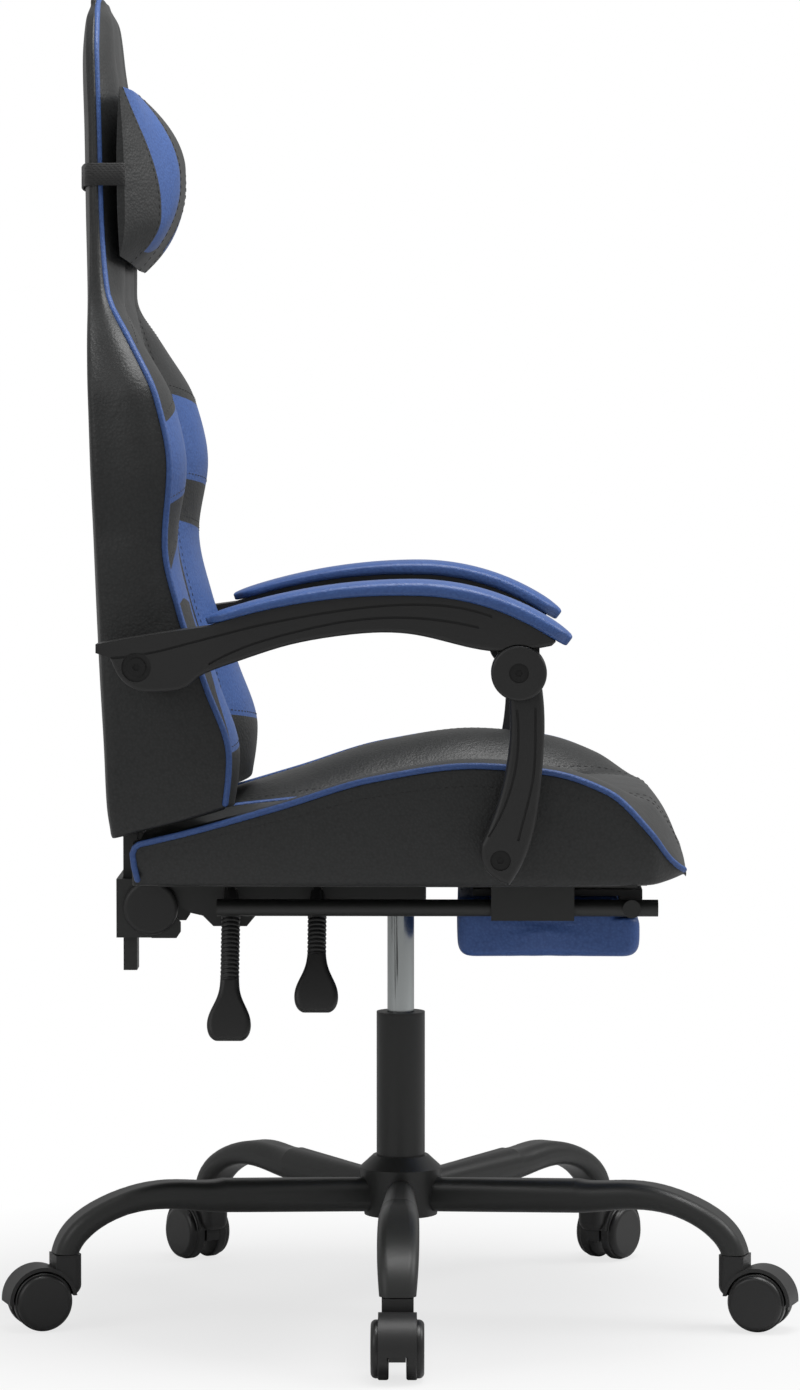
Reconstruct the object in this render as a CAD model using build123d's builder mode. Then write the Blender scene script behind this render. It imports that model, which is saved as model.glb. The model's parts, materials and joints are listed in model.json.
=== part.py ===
"""Gaming chair with reclining back, linked arms, gas lift, star base and slide-out footrest.

Millimetres. +X forward, +Y to the sitter's left, +Z up, origin on the floor on the gas-lift axis.
"""
import os
from math import cos, radians, sin

from build123d import *

os.makedirs("parts", exist_ok=True)

# Fits and gaps
running = 0.05
gap = 0.3

# Casters
wheel_d = 56
tread_w = 10
tread_round = 2
cap_w = 6.3
cap_d = 53
cap_round = 5
wheel_spacing = 16
axle_d = 8
stem_d = 11
stem_rise = 13
caster_trail = 25
hood_top = 71
hood_low = 30
hood_inner = 14
hood_outer = 12
hood_w = 29
hood_round = 8
hood_chin = 12
fender_r = 33
fender_w = 35
fender_low = 26
hood_cut = 33
web_low = 21
wheel_clear = 1.5

# Star base
caster_ring = 336
leg_count = 5
first_leg_angle = -89.7
leg_lift = 1
leg_wall = 2.5
hub_d = 80
hub_low_d = 71
hub_low = 93
hub_high = 139
collar_d = 54
collar_high = 151

# Gas lift
column_d = 47
column_low = 95
column_high = 288
column_floor = 5
bush_wall = 5
bush_length = 90
bush_flange = 3
cylinder_d = 26
cylinder_low = 194
cylinder_high = 412
cylinder_wall = 3
rod_d = 10
bearing_d = 28
bearing_h = 8
piston_h = 12
pin_d = 6
pin_rise = 6

# Under-seat chassis
seat_low = 434
chassis_half = 80
chassis_rear = -210
chassis_front = 24
sheet_t = 3
chassis_side_low = 394
chassis_belly_low = 382
belly_rear = -178
belly_front = -146
socket_wall = 6
socket_low = 386
bolt_d = 8

# Pull levers
lever_z = 422.3
lever_rod_d = 8
lever_clear = 2.2
lever_pivot_y = -70
ear_w = 12
ear_t = 3
ear_low = 416
lever_pin_d = 5
height_lever_x = -78
recline_lever_x = -160
lever_out = 94
lever_lean = 24
grip_d = 18
grip_start = 6
height_grip_length = 69
recline_grip_length = 97
paddle_w = 41.5
paddle_l = 50
paddle_t = 13
rib_pitch = 4.2
rib_depth = 0.6

# Recline hinge
hinge_x = -237
hinge_z = 401
hinge_half = 84
plate_t = 5
plate_r = 24
plate_foot = 30
hinge_pin_d = 12
cover_r = 26
cover_t = 7
bracket_rear = -270
bracket_low = 372
bracket_high = 428
bar_t = 13
bar_w = 30
bar_wall = 2
bar_y = 50
bar_low = 338

# Seat
seat_rear = -246
seat_half = 248
seat_tuck = 9
bolster_w = 108
crest_in = 40
dish_crown = 4
frame_t = 3
frame_inset = 20
frame_rear = -222
frame_front = 222
frame_band = 30
cross_bar_w = 44
rear_bar_x = -172
mid_bar_x = -2
front_bar_x = 126
tab_t = 6
tab_w = 44
tab_rise = 24

# Backrest
head_half = 137
back_ground_x = -242
back_ground_z = 481.5
back_ground_slope = 15.4
frame_tube_d = 18
frame_tube_wall = 1.5
cross_tube_d = 14
bush_d = 24
frame_foot_x = -248
frame_foot_z = 515
frame_lean = 2.8
hoop_inset = 53
frame_head_half = 92
frame_shoulder_v = 370
frame_neck_v = 500
frame_top_v = 660
frame_bend_r = 45

# Arms
arm_offset = 28
rear_bolt_x = -237
rear_bolt_z = 641
knuckle_x = 111.5
knuckle_z = 636
post_bolt_x = 95
post_bolt_z = 464
crown_x = 15
crown_z = 721
pad_rear_r = 560
pad_front_r = 240
pad_rear_x = -172
pad_front_x = 160
pad_tail_t = 10
pad_half = 27
pad_t = 15
pad_round = 6
beam_half = 19
beam_round = 4
beam_low_z = 672
groove_w = 2.2
groove_depth = 2.2
lobe_r = 23
lobe_tail = 37
knuckle_r = 25.5
lug_r = 19
post_half = 13
post_shift = 3
post_round = 5
knuckle_split_in = 3
knuckle_reach = 21
knuckle_round = 3
pivot_bolt_d = 10
pivot_head_d = 18
pivot_head_t = 4
rear_bolt_d = 6
loop_clear = 5
rear_head_d = 17
socket_flat_r = 3.4
socket_depth = 1.6
spacer_d = 26

# Head pillow and strap
pillow_half = 138
pillow_low = 1006
pillow_high = 1176
pillow_rear = -250
pillow_front = -206
pillow_sweep = 11
pillow_edge = 5
strap_z = 1095
strap_w = 21
strap_t = 2
strap_rear = -305.2
strap_bow = 10
strap_round = 12

# Footrest
rail_y = 150
rail_z = 407
rail_d = 16
rail_wall = 1.5
rail_rear = -171
rail_front = 244
guide_rear = 87
guide_front = 165
guide_flare = 13
guide_half = 12
guide_floor = 3
guide_flange_t = 4
axle_x = 219
axle_rod_d = 10
axle_head_d = 17
axle_head_t = 3
rest_half = 133
rest_rear = 55
rest_front = 228
rest_low = 358
rest_high = 416
rest_round = 12
board_t = 6
board_rear = 70
lug_half = 11
lug_y = 112
lug_w = 30

# Values worked out from the sizes above
wheel_r = wheel_d / 2
web_half = wheel_spacing / 2 - gap
column_r = column_d / 2
column_bore_r = cylinder_d / 2 + running + bush_wall
socket_z = hood_top + leg_lift
cylinder_r = cylinder_d / 2
rod_r = rod_d / 2
chassis_top = seat_low - sheet_t
ear_gap = lever_rod_d / 2 + gap
leg_angles = [first_leg_angle + 360 / leg_count * n for n in range(leg_count)]
frame_half = seat_half - frame_inset
frame_low_half = seat_half - hoop_inset
arm_y = seat_half + arm_offset
post_inner = arm_y - post_shift - post_half
post_outer = arm_y - post_shift + post_half
knuckle_split = arm_y - knuckle_split_in
knuckle_outer = arm_y + knuckle_reach
lug_outer = knuckle_split - gap
beam_inner = arm_y - beam_half
beam_outer = arm_y + beam_half


def save(builder, name):
    """Label a finished piece and write it."""
    builder.part.label = name
    export_step(builder.part, f"parts/{name}.step")


def side_plane(y):
    """Side-view plane at one Y: local x is X, local y is Z, and a negative extrude goes towards +Y."""
    return Plane.XZ.offset(-y)


def bar_along_y(x, z, radius, y_from, y_to, mode=Mode.ADD):
    """Round bar parallel to Y, added to or cut from the piece being built."""
    with BuildSketch(side_plane(y_from)) as outline:
        with Locations((x, z)):
            Circle(radius)
    extrude(outline.sketch, amount=y_from - y_to, mode=mode)


def slab_along_y(x_from, x_to, z_from, z_to, y_from, y_to, mode=Mode.ADD):
    """Block between two X, two Z and two Y values."""
    with BuildSketch(side_plane(y_from)) as outline:
        with Locations(((x_from + x_to) / 2, (z_from + z_to) / 2)):
            Rectangle(x_to - x_from, z_to - z_from)
    extrude(outline.sketch, amount=y_from - y_to, mode=mode)


def tube_along_z(radius, bore, z_from, z_to, mode=Mode.ADD):
    """Upright ring or disc on the lift axis."""
    with BuildSketch(Plane.XY.offset(z_from)) as outline:
        Circle(radius)
        if bore:
            Circle(bore, mode=Mode.SUBTRACT)
    extrude(outline.sketch, amount=z_to - z_from, mode=mode)


def hex_socket(x, z, face_y):
    """Six-sided key socket in a bolt head that faces +Y."""
    with BuildSketch(side_plane(face_y - socket_depth)) as outline:
        with Locations((x, z)):
            RegularPolygon(socket_flat_r, 6)
    extrude(outline.sketch, amount=-socket_depth, mode=Mode.SUBTRACT)


# Star base: arched oval legs welded to a hub with a tapered collar
def leg_slice(reach, height, fall, depth, width):
    """One oval section of a leg, square to its path, which falls by an angle at that reach."""
    along = (cos(radians(fall)), 0, -sin(radians(fall)))
    with BuildSketch(Plane(origin=(reach, 0, height), x_dir=(0, 1, 0), z_dir=along)) as outline:
        RectangleRounded(width, depth, min(width, depth) * 0.42)
    add(outline.sketch)


leg_arch = [
    (caster_ring - 156, hub_low + 26.5, -2, 32, 36),
    (caster_ring - 121, hub_low + 28.5, -1, 27.5, 37.5),
    (caster_ring - 86, hub_low + 29.5, 5, 24.5, 38.5),
    (caster_ring - 50, hub_low + 22, 19, 21, 39),
    (caster_ring - 18, socket_z + 26, 44, 21.5, 38),
    (caster_ring, socket_z, 90, 23, 34),
]
leg_root = [(hub_d / 2 - 14, hub_low + 20, -2, 33, 25), leg_arch[0]]
leg_core = [(hub_d / 2 + 20, hub_low + 21.5, -2, 33, 27.4), (caster_ring - 162, hub_low + 26.2, -2, 32, 35.6)]
with BuildPart() as root_form:
    for reach, height, fall, depth, width in leg_root:
        leg_slice(reach, height, fall, depth, width)
    loft()
with BuildPart() as hollow_form:
    for reach, height, fall, depth, width in leg_core:
        leg_slice(reach, height, fall, depth - 2 * leg_wall, width - 2 * leg_wall)
    loft()
with BuildPart() as leg_form:
    for reach, height, fall, depth, width in leg_arch:
        leg_slice(reach, height, fall, depth, width)
    loft()
    add(root_form.part)
    with Locations((caster_ring, 0, socket_z + stem_rise / 2)):
        Cylinder(stem_d / 2 + running, stem_rise + 2, mode=Mode.SUBTRACT)

with BuildPart() as star_base:
    with BuildSketch(Plane.XY.offset(hub_low)):
        Circle(hub_low_d / 2)
    with BuildSketch(Plane.XY.offset(hub_high)):
        Circle(hub_d / 2)
    loft()
    with BuildSketch(Plane.XY.offset(hub_high)):
        Circle(hub_d / 2)
    with BuildSketch(Plane.XY.offset(collar_high)):
        Circle(collar_d / 2)
    loft()
    add([leg_form.part.rotate(Axis.Z, angle) for angle in leg_angles])
    tube_along_z(column_r, 0, hub_low, collar_high, mode=Mode.SUBTRACT)
    add([hollow_form.part.rotate(Axis.Z, angle) for angle in leg_angles], mode=Mode.SUBTRACT)
save(star_base, "star_base")

# Gas lift: outer tube in the hub, guide bush, bearing and fixed piston rod
with BuildPart() as gas_column:
    tube_along_z(column_r, column_bore_r, column_low, column_high)
    tube_along_z(column_r, rod_r + running, column_low, column_low + column_floor)
save(gas_column, "gas_column")

with BuildPart() as column_bush:
    tube_along_z(column_bore_r, cylinder_r + running, column_high - bush_length, column_high)
    tube_along_z(column_r, cylinder_r + running, column_high, column_high + bush_flange)
    fillet(column_bush.edges().filter_by(GeomType.CIRCLE).sort_by(Axis.Z)[-1], bush_flange / 3)
save(column_bush, "column_bush")

bearing_low = column_low + column_floor
with BuildPart() as thrust_bearing:
    tube_along_z(bearing_d / 2, rod_r + running, bearing_low, bearing_low + bearing_h)
save(thrust_bearing, "thrust_bearing")

gland_top = cylinder_low + 4 * cylinder_wall
with BuildPart() as piston_rod:
    tube_along_z(rod_r, 0, column_low, gland_top + piston_h)
    tube_along_z(bearing_d / 3, 0, bearing_low + bearing_h, bearing_low + bearing_h + cylinder_wall)
    tube_along_z(cylinder_r - cylinder_wall - running, 0, gland_top + gap, gland_top + gap + piston_h)
save(piston_rod, "piston_rod")

pin_foot = cylinder_high - 4 * cylinder_wall
with BuildPart() as gas_cylinder:
    tube_along_z(cylinder_r, 0, cylinder_low, cylinder_high)
    tube_along_z(cylinder_r - cylinder_wall, 0, gland_top, pin_foot - cylinder_wall, mode=Mode.SUBTRACT)
    tube_along_z(rod_r + running, 0, cylinder_low, gland_top, mode=Mode.SUBTRACT)
    tube_along_z(pin_d / 2 + running, 0, pin_foot, cylinder_high, mode=Mode.SUBTRACT)
save(gas_cylinder, "gas_cylinder")

pin_top = cylinder_high + pin_rise
with BuildPart() as release_pin:
    tube_along_z(pin_d / 2, 0, pin_foot + pin_rise, pin_top)
    fillet(release_pin.edges().group_by(Axis.Z)[-1], pin_d / 8)
save(release_pin, "release_pin")

# Casters, modelled on the +X leg and turned to each leg's angle
axle_reach = caster_ring + caster_trail
wheel_inner = wheel_spacing / 2
tread_outer = wheel_inner + tread_w
cap_outer = tread_outer + cap_w
with BuildPart() as hood_form:
    slab_along_y(
        caster_ring - hood_inner, caster_ring + hood_outer, hood_low, hood_top, -hood_w / 2, hood_w / 2
    )
    fillet(hood_form.edges().filter_by(Axis.Z).group_by(Axis.X)[0], hood_round)
    fillet(hood_form.edges().group_by(Axis.Z)[0].sort_by(Axis.X)[0], hood_chin)
    bar_along_y(axle_reach, wheel_r, fender_r, -fender_w / 2, fender_w / 2)
    slab_along_y(
        axle_reach, axle_reach + 2 * fender_r, -fender_r, fender_low, -fender_w, fender_w, mode=Mode.SUBTRACT
    )
    slab_along_y(
        axle_reach - 2 * fender_r, axle_reach, -fender_r, hood_cut, -fender_w, fender_w, mode=Mode.SUBTRACT
    )
    bar_along_y(axle_reach, wheel_r, wheel_r + wheel_clear, -fender_w, fender_w, mode=Mode.SUBTRACT)
    bar_along_y(axle_reach, wheel_r, wheel_r + wheel_clear, -web_half, web_half)
    slab_along_y(
        axle_reach - 2 * fender_r,
        axle_reach + 2 * fender_r,
        -fender_r,
        web_low,
        -web_half,
        web_half,
        mode=Mode.SUBTRACT,
    )
    bar_along_y(axle_reach, wheel_r, axle_d / 2, -web_half, web_half, mode=Mode.SUBTRACT)
    with Locations((caster_ring, 0, hood_top)):
        Cylinder(stem_d / 2, 2 * stem_rise, mode=Mode.SUBTRACT)

with BuildPart() as pins_form:
    with Locations((caster_ring, 0, hood_top)):
        Cylinder(stem_d / 2, 2 * stem_rise)
    axle_half = cap_outer - cap_w / 2
    bar_along_y(axle_reach, wheel_r, axle_d / 2, -axle_half, axle_half)

with BuildPart() as wheel_form:
    bar_along_y(axle_reach, wheel_r, wheel_r, wheel_inner, tread_outer)
    fillet(wheel_form.edges().filter_by(GeomType.CIRCLE), tread_round)
    bar_along_y(axle_reach, wheel_r, cap_d / 2, tread_outer, cap_outer)
    fillet(wheel_form.faces().sort_by(Axis.Y)[-1].edges(), cap_round)
    bar_along_y(
        axle_reach, wheel_r, axle_d / 2 + running, wheel_inner, axle_half + running, mode=Mode.SUBTRACT
    )

for number, angle in enumerate(leg_angles, start=1):
    with BuildPart() as caster_hood:
        add(hood_form.part, rotation=(0, 0, angle))
    save(caster_hood, f"caster_hood_{number}")
    with BuildPart() as caster_pins:
        add(pins_form.part, rotation=(0, 0, angle))
    save(caster_pins, f"caster_pins_{number}")
    with BuildPart() as wheel_left:
        add(wheel_form.part, rotation=(0, 0, angle))
    save(wheel_left, f"wheel_left_{number}")
    with BuildPart() as wheel_right:
        add(mirror(wheel_form.part, about=Plane.XZ, mode=Mode.PRIVATE), rotation=(0, 0, angle))
    save(wheel_right, f"wheel_right_{number}")

# Chassis: pressed box with a taper socket, a deeper belly and lever holes in the right wall
frame_bolts = [(rear_bar_x, 60), (rear_bar_x, -60), (mid_bar_x, 60), (mid_bar_x, -60)]
guide_x = (guide_rear + guide_front) / 2
guide_bolts = [(guide_x + along, side * rail_y) for along in (-12, 12) for side in (-1, 1)]
with BuildPart() as chassis:
    slab_along_y(chassis_rear, chassis_front, chassis_top, seat_low, -chassis_half, chassis_half)
    for wall_y in (-chassis_half, chassis_half - sheet_t):
        with BuildSketch(side_plane(wall_y)):
            with BuildLine():
                Polyline(
                    (chassis_rear, seat_low),
                    (chassis_rear, chassis_side_low + 7),
                    (chassis_rear + 9, chassis_side_low + 1),
                    (belly_rear - 10, chassis_side_low - 2),
                    (belly_rear, chassis_belly_low),
                    (belly_front, chassis_belly_low),
                    (belly_front + 10, chassis_side_low),
                    (chassis_front, chassis_side_low),
                    (chassis_front, seat_low),
                    close=True,
                )
            make_face()
        extrude(amount=-sheet_t)
    slab_along_y(
        chassis_front - sheet_t, chassis_front, chassis_side_low, seat_low, -chassis_half, chassis_half
    )
    floor_rear = -2 * (cylinder_r + socket_wall)
    floor_top = chassis_side_low + sheet_t
    slab_along_y(floor_rear, chassis_front, chassis_side_low, floor_top, -chassis_half, chassis_half)
    tube_along_z(cylinder_r + socket_wall, 0, socket_low, cylinder_high - pin_rise)
    tube_along_z(cylinder_r, 0, socket_low, cylinder_high - pin_rise, mode=Mode.SUBTRACT)
    for lever_x in (height_lever_x, recline_lever_x):
        bar_along_y(
            lever_x,
            lever_z,
            lever_rod_d / 2 + lever_clear,
            -chassis_half,
            -chassis_half + sheet_t,
            mode=Mode.SUBTRACT,
        )
        for ear_x in (lever_x - ear_gap - ear_t, lever_x + ear_gap):
            slab_along_y(
                ear_x,
                ear_x + ear_t,
                ear_low,
                chassis_top,
                lever_pivot_y - ear_w / 2,
                lever_pivot_y + ear_w / 2,
            )
        with BuildSketch(Plane.YZ.offset(lever_x - ear_gap - ear_t)):
            with Locations((lever_pivot_y, lever_z)):
                Circle(lever_pin_d / 2 + running)
        extrude(amount=2 * (ear_gap + ear_t), mode=Mode.SUBTRACT)
    with Locations(*[(x, y, seat_low) for x, y in frame_bolts]):
        Hole(bolt_d / 2, depth=sheet_t)
save(chassis, "chassis")

# Seat frame: flat ladder with upright tabs that carry the arm posts
with BuildPart() as seat_frame:
    with BuildSketch(Plane.XY.offset(seat_low)):
        with Locations(((frame_rear + frame_front) / 2, 0)):
            Rectangle(frame_front - frame_rear, 2 * frame_half)
            Rectangle(
                frame_front - frame_rear - 2 * frame_band, 2 * (frame_half - frame_band), mode=Mode.SUBTRACT
            )
        with Locations((rear_bar_x, 0), (mid_bar_x, 0)):
            Rectangle(cross_bar_w, 2 * frame_half)
        with Locations((guide_x, 0)):
            Rectangle(guide_front - guide_rear, 2 * frame_half)
        with Locations(*frame_bolts, *guide_bolts):
            Circle(bolt_d / 2, mode=Mode.SUBTRACT)
    extrude(amount=frame_t)
    for tab_y in (-frame_half, frame_half - tab_t):
        slab_along_y(
            post_bolt_x - tab_w / 2,
            post_bolt_x + tab_w / 2,
            seat_low,
            post_bolt_z + tab_rise,
            tab_y,
            tab_y + tab_t,
        )
    bar_along_y(
        post_bolt_x, post_bolt_z, pivot_bolt_d / 2, -frame_half, frame_half, mode=Mode.SUBTRACT
    )
save(seat_frame, "seat_frame")

bolt_length = sheet_t + frame_t
with BuildPart() as seat_bolts:
    for x, y in frame_bolts:
        with Locations((x, y, chassis_top + bolt_length / 2)):
            Cylinder(bolt_d / 2, bolt_length)
        with Locations((x, y, chassis_top - bolt_d / 4)):
            Cylinder(bolt_d * 0.8, bolt_d / 2)
    for x, y in guide_bolts:
        shank = frame_t + guide_flange_t
        with Locations((x, y, seat_low - guide_flange_t + shank / 2)):
            Cylinder(bolt_d / 2, shank)
save(seat_bolts, "seat_bolts")


# Seat cushion: raised side bolsters, dished middle, falling front edge and drawn-in sides
def seat_slice(x, half, piping_z, crest_z, dish_z, base_z):
    """Cross-section of the seat at one X."""
    low = (half - seat_tuck, base_z)
    edge = (half, piping_z)
    crest = (half - crest_in, crest_z)
    foot = (half - bolster_w, dish_z)
    with BuildSketch(Plane.YZ.offset(x)) as outline:
        with BuildLine():
            Line((-low[0], low[1]), low)
            Line(low, edge)
            ThreePointArc(edge, crest, foot)
            ThreePointArc(foot, (0, dish_z + dish_crown), (-foot[0], foot[1]))
            ThreePointArc((-foot[0], foot[1]), (-crest[0], crest[1]), (-edge[0], edge[1]))
            Line((-edge[0], edge[1]), (-low[0], low[1]))
        make_face()
    add(outline.sketch)


with BuildPart() as seat_cushion:
    seat_slice(seat_rear, seat_half - 16, 472, 473, 466, seat_low)
    seat_slice(-190, seat_half - 8, 486, 488, 477, seat_low)
    seat_slice(-110, seat_half - 3, 509, 511, 486, seat_low)
    seat_slice(-20, seat_half, 536, 539, 493, seat_low)
    seat_slice(70, seat_half, 548, 552, 500, seat_low)
    seat_slice(140, seat_half - 1, 542, 546, 508, seat_low)
    seat_slice(195, seat_half - 5, 523, 529, 513, seat_low)
    seat_slice(234, seat_half - 13, 485, 499, 509, seat_low + 1)
    seat_slice(252, seat_half - 30, 460, 478, 489, seat_low + 4.5)
    seat_slice(263, seat_half - 43, 450, 460, 468, seat_low + 8)
    seat_slice(268, seat_half - 52, 447, 451, 454, seat_low + 10)
    loft()
    split(bisect_by=Plane.XY.offset(seat_low), keep=Keep.TOP)
    add(seat_frame.part, mode=Mode.SUBTRACT)
    for side in (-1, 1):
        near_y = min(side * (frame_half - tab_t), side * post_outer)
        far_y = max(side * (frame_half - tab_t), side * post_outer)
        bar_along_y(
            post_bolt_x, post_bolt_z, pivot_bolt_d / 2 + gap, near_y, far_y, mode=Mode.SUBTRACT
        )
    with Locations(*[(x, y, seat_low) for x, y in (*frame_bolts, *guide_bolts)]):
        Cylinder(bolt_d / 2 + gap, 2 * frame_t + 2 * gap, mode=Mode.SUBTRACT)
save(seat_cushion, "seat_cushion")


# Pull levers: bent rods with ribbed sleeves and flat paddles
def lever_points(x, inner):
    """Corner points of a lever rod, from its inner end to the tip of its grip."""
    drop = cos(radians(lever_lean))
    out = sin(radians(lever_lean))
    length = grip_start + (height_grip_length if x == height_lever_x else recline_grip_length)
    knee = (x, -lever_out, lever_z)
    tip = (x, -lever_out - out * length, lever_z - drop * length)
    return [*inner, knee, tip]


def lever_rod(points):
    """Round rod swept along a bent path."""
    with BuildLine() as path:
        FilletPolyline(*points, radius=lever_rod_d)
    with BuildSketch(Plane(origin=path.wire() @ 0, z_dir=path.wire() % 0)) as outline:
        Circle(lever_rod_d / 2)
    sweep(outline.sketch, path=path.wire())
    with BuildSketch(Plane.YZ.offset(points[-1][0] - ear_gap - ear_t)) as pin:
        with Locations((lever_pivot_y, lever_z)):
            Circle(lever_pin_d / 2)
    extrude(pin.sketch, amount=2 * (ear_gap + ear_t))


def lever_grip(x, length):
    """Ribbed sleeve and paddle around the lower end of a lever rod."""
    out = sin(radians(lever_lean))
    drop = cos(radians(lever_lean))
    top = Vector(x, -lever_out - out * grip_start, lever_z - drop * grip_start)
    down = Vector(0, -out, -drop)
    plain = grip_d
    profile = [(0, 0), (lever_rod_d * 0.8, 0), (grip_d / 2, plain)]
    while plain < length - 2 * rib_pitch:
        profile += [(grip_d / 2 - rib_depth, plain + 1), (grip_d / 2 - rib_depth, plain + 2)]
        profile += [(grip_d / 2, plain + 3), (grip_d / 2, plain + rib_pitch)]
        plain += rib_pitch
    profile += [(0, plain)]
    with BuildSketch(Plane(origin=top, x_dir=(1, 0, 0), z_dir=(0, drop, -out))) as half:
        with BuildLine():
            Polyline(*profile, close=True)
        make_face()
    revolve(half.sketch, axis=Axis(top, down))
    stations = [
        (plain - 2 * rib_pitch, grip_d - 2 * rib_depth, paddle_t),
        (plain, grip_d, paddle_t),
        (length + paddle_l * 0.06, paddle_w * 0.49, paddle_t),
        (length + paddle_l * 0.24, paddle_w * 0.63, paddle_t),
        (length + paddle_l * 0.46, paddle_w * 0.87, paddle_t),
        (length + paddle_l * 0.7, paddle_w, paddle_t),
        (length + paddle_l * 0.9, paddle_w * 0.9, paddle_t * 0.9),
        (length + paddle_l, paddle_w * 0.66, paddle_t * 0.6),
    ]
    slices = []
    for reach, width, depth in stations:
        with BuildSketch(Plane(origin=top + down * reach, x_dir=(1, 0, 0), z_dir=down)) as outline:
            RectangleRounded(width, depth, depth * 0.4)
        slices.append(outline.sketch)
    loft(slices)
    with BuildSketch(Plane(origin=top, z_dir=down)) as bore:
        Circle(lever_rod_d / 2)
    extrude(bore.sketch, amount=length, mode=Mode.SUBTRACT)


with BuildPart() as height_lever:
    lever_rod(lever_points(height_lever_x, [(pin_d, 0, lever_z), (height_lever_x, 0, lever_z)]))
save(height_lever, "height_lever")
with BuildPart() as height_grip:
    lever_grip(height_lever_x, height_grip_length)
save(height_grip, "height_grip")
with BuildPart() as recline_lever:
    lever_rod(lever_points(recline_lever_x, [(recline_lever_x, -chassis_half / 4, lever_z)]))
save(recline_lever, "recline_lever")
with BuildPart() as recline_grip:
    lever_grip(recline_lever_x, recline_grip_length)
save(recline_grip, "recline_grip")

# Recline hinge: fixed plates on the chassis, pins, covers and the moving back bracket
fixed_inner = chassis_half
fixed_outer = fixed_inner + plate_t
cheek_inner = fixed_outer + gap
cheek_outer = cheek_inner + plate_t
with BuildPart() as hinge_plates:
    with BuildSketch(side_plane(fixed_inner)):
        with BuildLine():
            Polyline(
                (hinge_x, hinge_z - plate_foot),
                (hinge_x + plate_r, hinge_z - plate_foot),
                (hinge_x + plate_foot - 2, hinge_z - plate_r),
                (hinge_x + plate_foot - 2, hinge_z - plate_foot / 2),
                (hinge_x + plate_r, hinge_z - plate_foot / 3),
                (hinge_x + plate_r + 1, hinge_z + 1),
                (chassis_rear + plate_foot / 3, chassis_side_low + 2),
                (chassis_rear + 1.8 * plate_r, chassis_side_low),
                (chassis_rear + 1.8 * plate_r, seat_low - gap),
                (hinge_x, hinge_z + plate_r),
                close=True,
            )
        make_face()
        with Locations((hinge_x, hinge_z)):
            Circle(plate_r)
            Circle(hinge_pin_d / 2, mode=Mode.SUBTRACT)
    extrude(amount=-plate_t)
    mirror(about=Plane.XZ)
save(hinge_plates, "hinge_plates")

with BuildPart() as hinge_pins:
    bar_along_y(hinge_x, hinge_z, hinge_pin_d / 2, fixed_inner - plate_t, cheek_outer + gap)
    bar_along_y(hinge_x, hinge_z, hinge_pin_d * 0.8, fixed_inner - plate_t, fixed_inner)
    mirror(about=Plane.XZ)
save(hinge_pins, "hinge_pins")

with BuildPart() as hinge_covers:
    bar_along_y(hinge_x, hinge_z, cover_r, cheek_outer + gap, cheek_outer + gap + cover_t)
    fillet(hinge_covers.edges().sort_by(Axis.Y)[-1], cover_t * 0.6)
    mirror(about=Plane.XZ)
save(hinge_covers, "hinge_covers")

bar_front = bracket_rear + plate_t + bar_t
bar_feet = {-1: bar_low, 1: bracket_low}
with BuildPart() as back_bracket:
    for cheek_y in (cheek_inner, -cheek_outer):
        with BuildSketch(side_plane(cheek_y)):
            with BuildLine():
                Polyline(
                    (bracket_rear, bracket_low),
                    (hinge_x, bracket_low),
                    (hinge_x + plate_r, hinge_z),
                    (hinge_x, bracket_high),
                    (bracket_rear, bracket_high),
                    close=True,
                )
            make_face()
            with Locations((hinge_x, hinge_z)):
                Circle(hinge_pin_d / 2 + running, mode=Mode.SUBTRACT)
        extrude(amount=-plate_t)
    slab_along_y(
        bracket_rear, bracket_rear + plate_t, bracket_low, bracket_high, -cheek_outer, cheek_outer
    )
    bracket_bolts = [(side * bar_y, z) for side in (-1, 1) for z in (bracket_low + 14, bracket_high - 14)]
    with Locations(*[Plane.YZ.location * Location((y, z, bracket_rear)) for y, z in bracket_bolts]):
        Cylinder(bolt_d / 2, 4 * plate_t, mode=Mode.SUBTRACT)
save(back_bracket, "back_bracket")

# Backrest frame: leaning tube hoop, lower cross tube, two flat bars and bushes for the arm bolts
lean = Plane(
    origin=(frame_foot_x, 0, frame_foot_z),
    x_dir=(0, 1, 0),
    z_dir=(cos(radians(frame_lean)), 0, sin(radians(frame_lean))),
)
with BuildPart() as frame_form:
    with BuildLine(lean) as hoop:
        FilletPolyline(
            (-frame_low_half, 0),
            (-frame_low_half, frame_shoulder_v),
            (-frame_head_half, frame_neck_v),
            (-frame_head_half, frame_top_v),
            (frame_head_half, frame_top_v),
            (frame_head_half, frame_neck_v),
            (frame_low_half, frame_shoulder_v),
            (frame_low_half, 0),
            radius=frame_bend_r,
        )
    with BuildSketch(Plane(origin=hoop.wire() @ 0, z_dir=hoop.wire() % 0)):
        Circle(frame_tube_d / 2)
    sweep(path=hoop.wire())
    cross_z = frame_foot_z + cross_tube_d
    bar_along_y(frame_foot_x, cross_z, cross_tube_d / 2, -frame_low_half, frame_low_half)
    for side in (-1, 1):
        slab_along_y(
            bracket_rear + plate_t,
            bar_front,
            bar_feet[side],
            cross_z + cross_tube_d,
            side * bar_y - bar_w / 2,
            side * bar_y + bar_w / 2,
        )
        bush_from = min(side * (frame_low_half - frame_tube_d / 2), side * (seat_half - frame_tube_d))
        bush_to = max(side * (frame_low_half - frame_tube_d / 2), side * (seat_half - frame_tube_d))
        bar_along_y(rear_bolt_x, rear_bolt_z, bush_d / 2, bush_from, bush_to)

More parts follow.
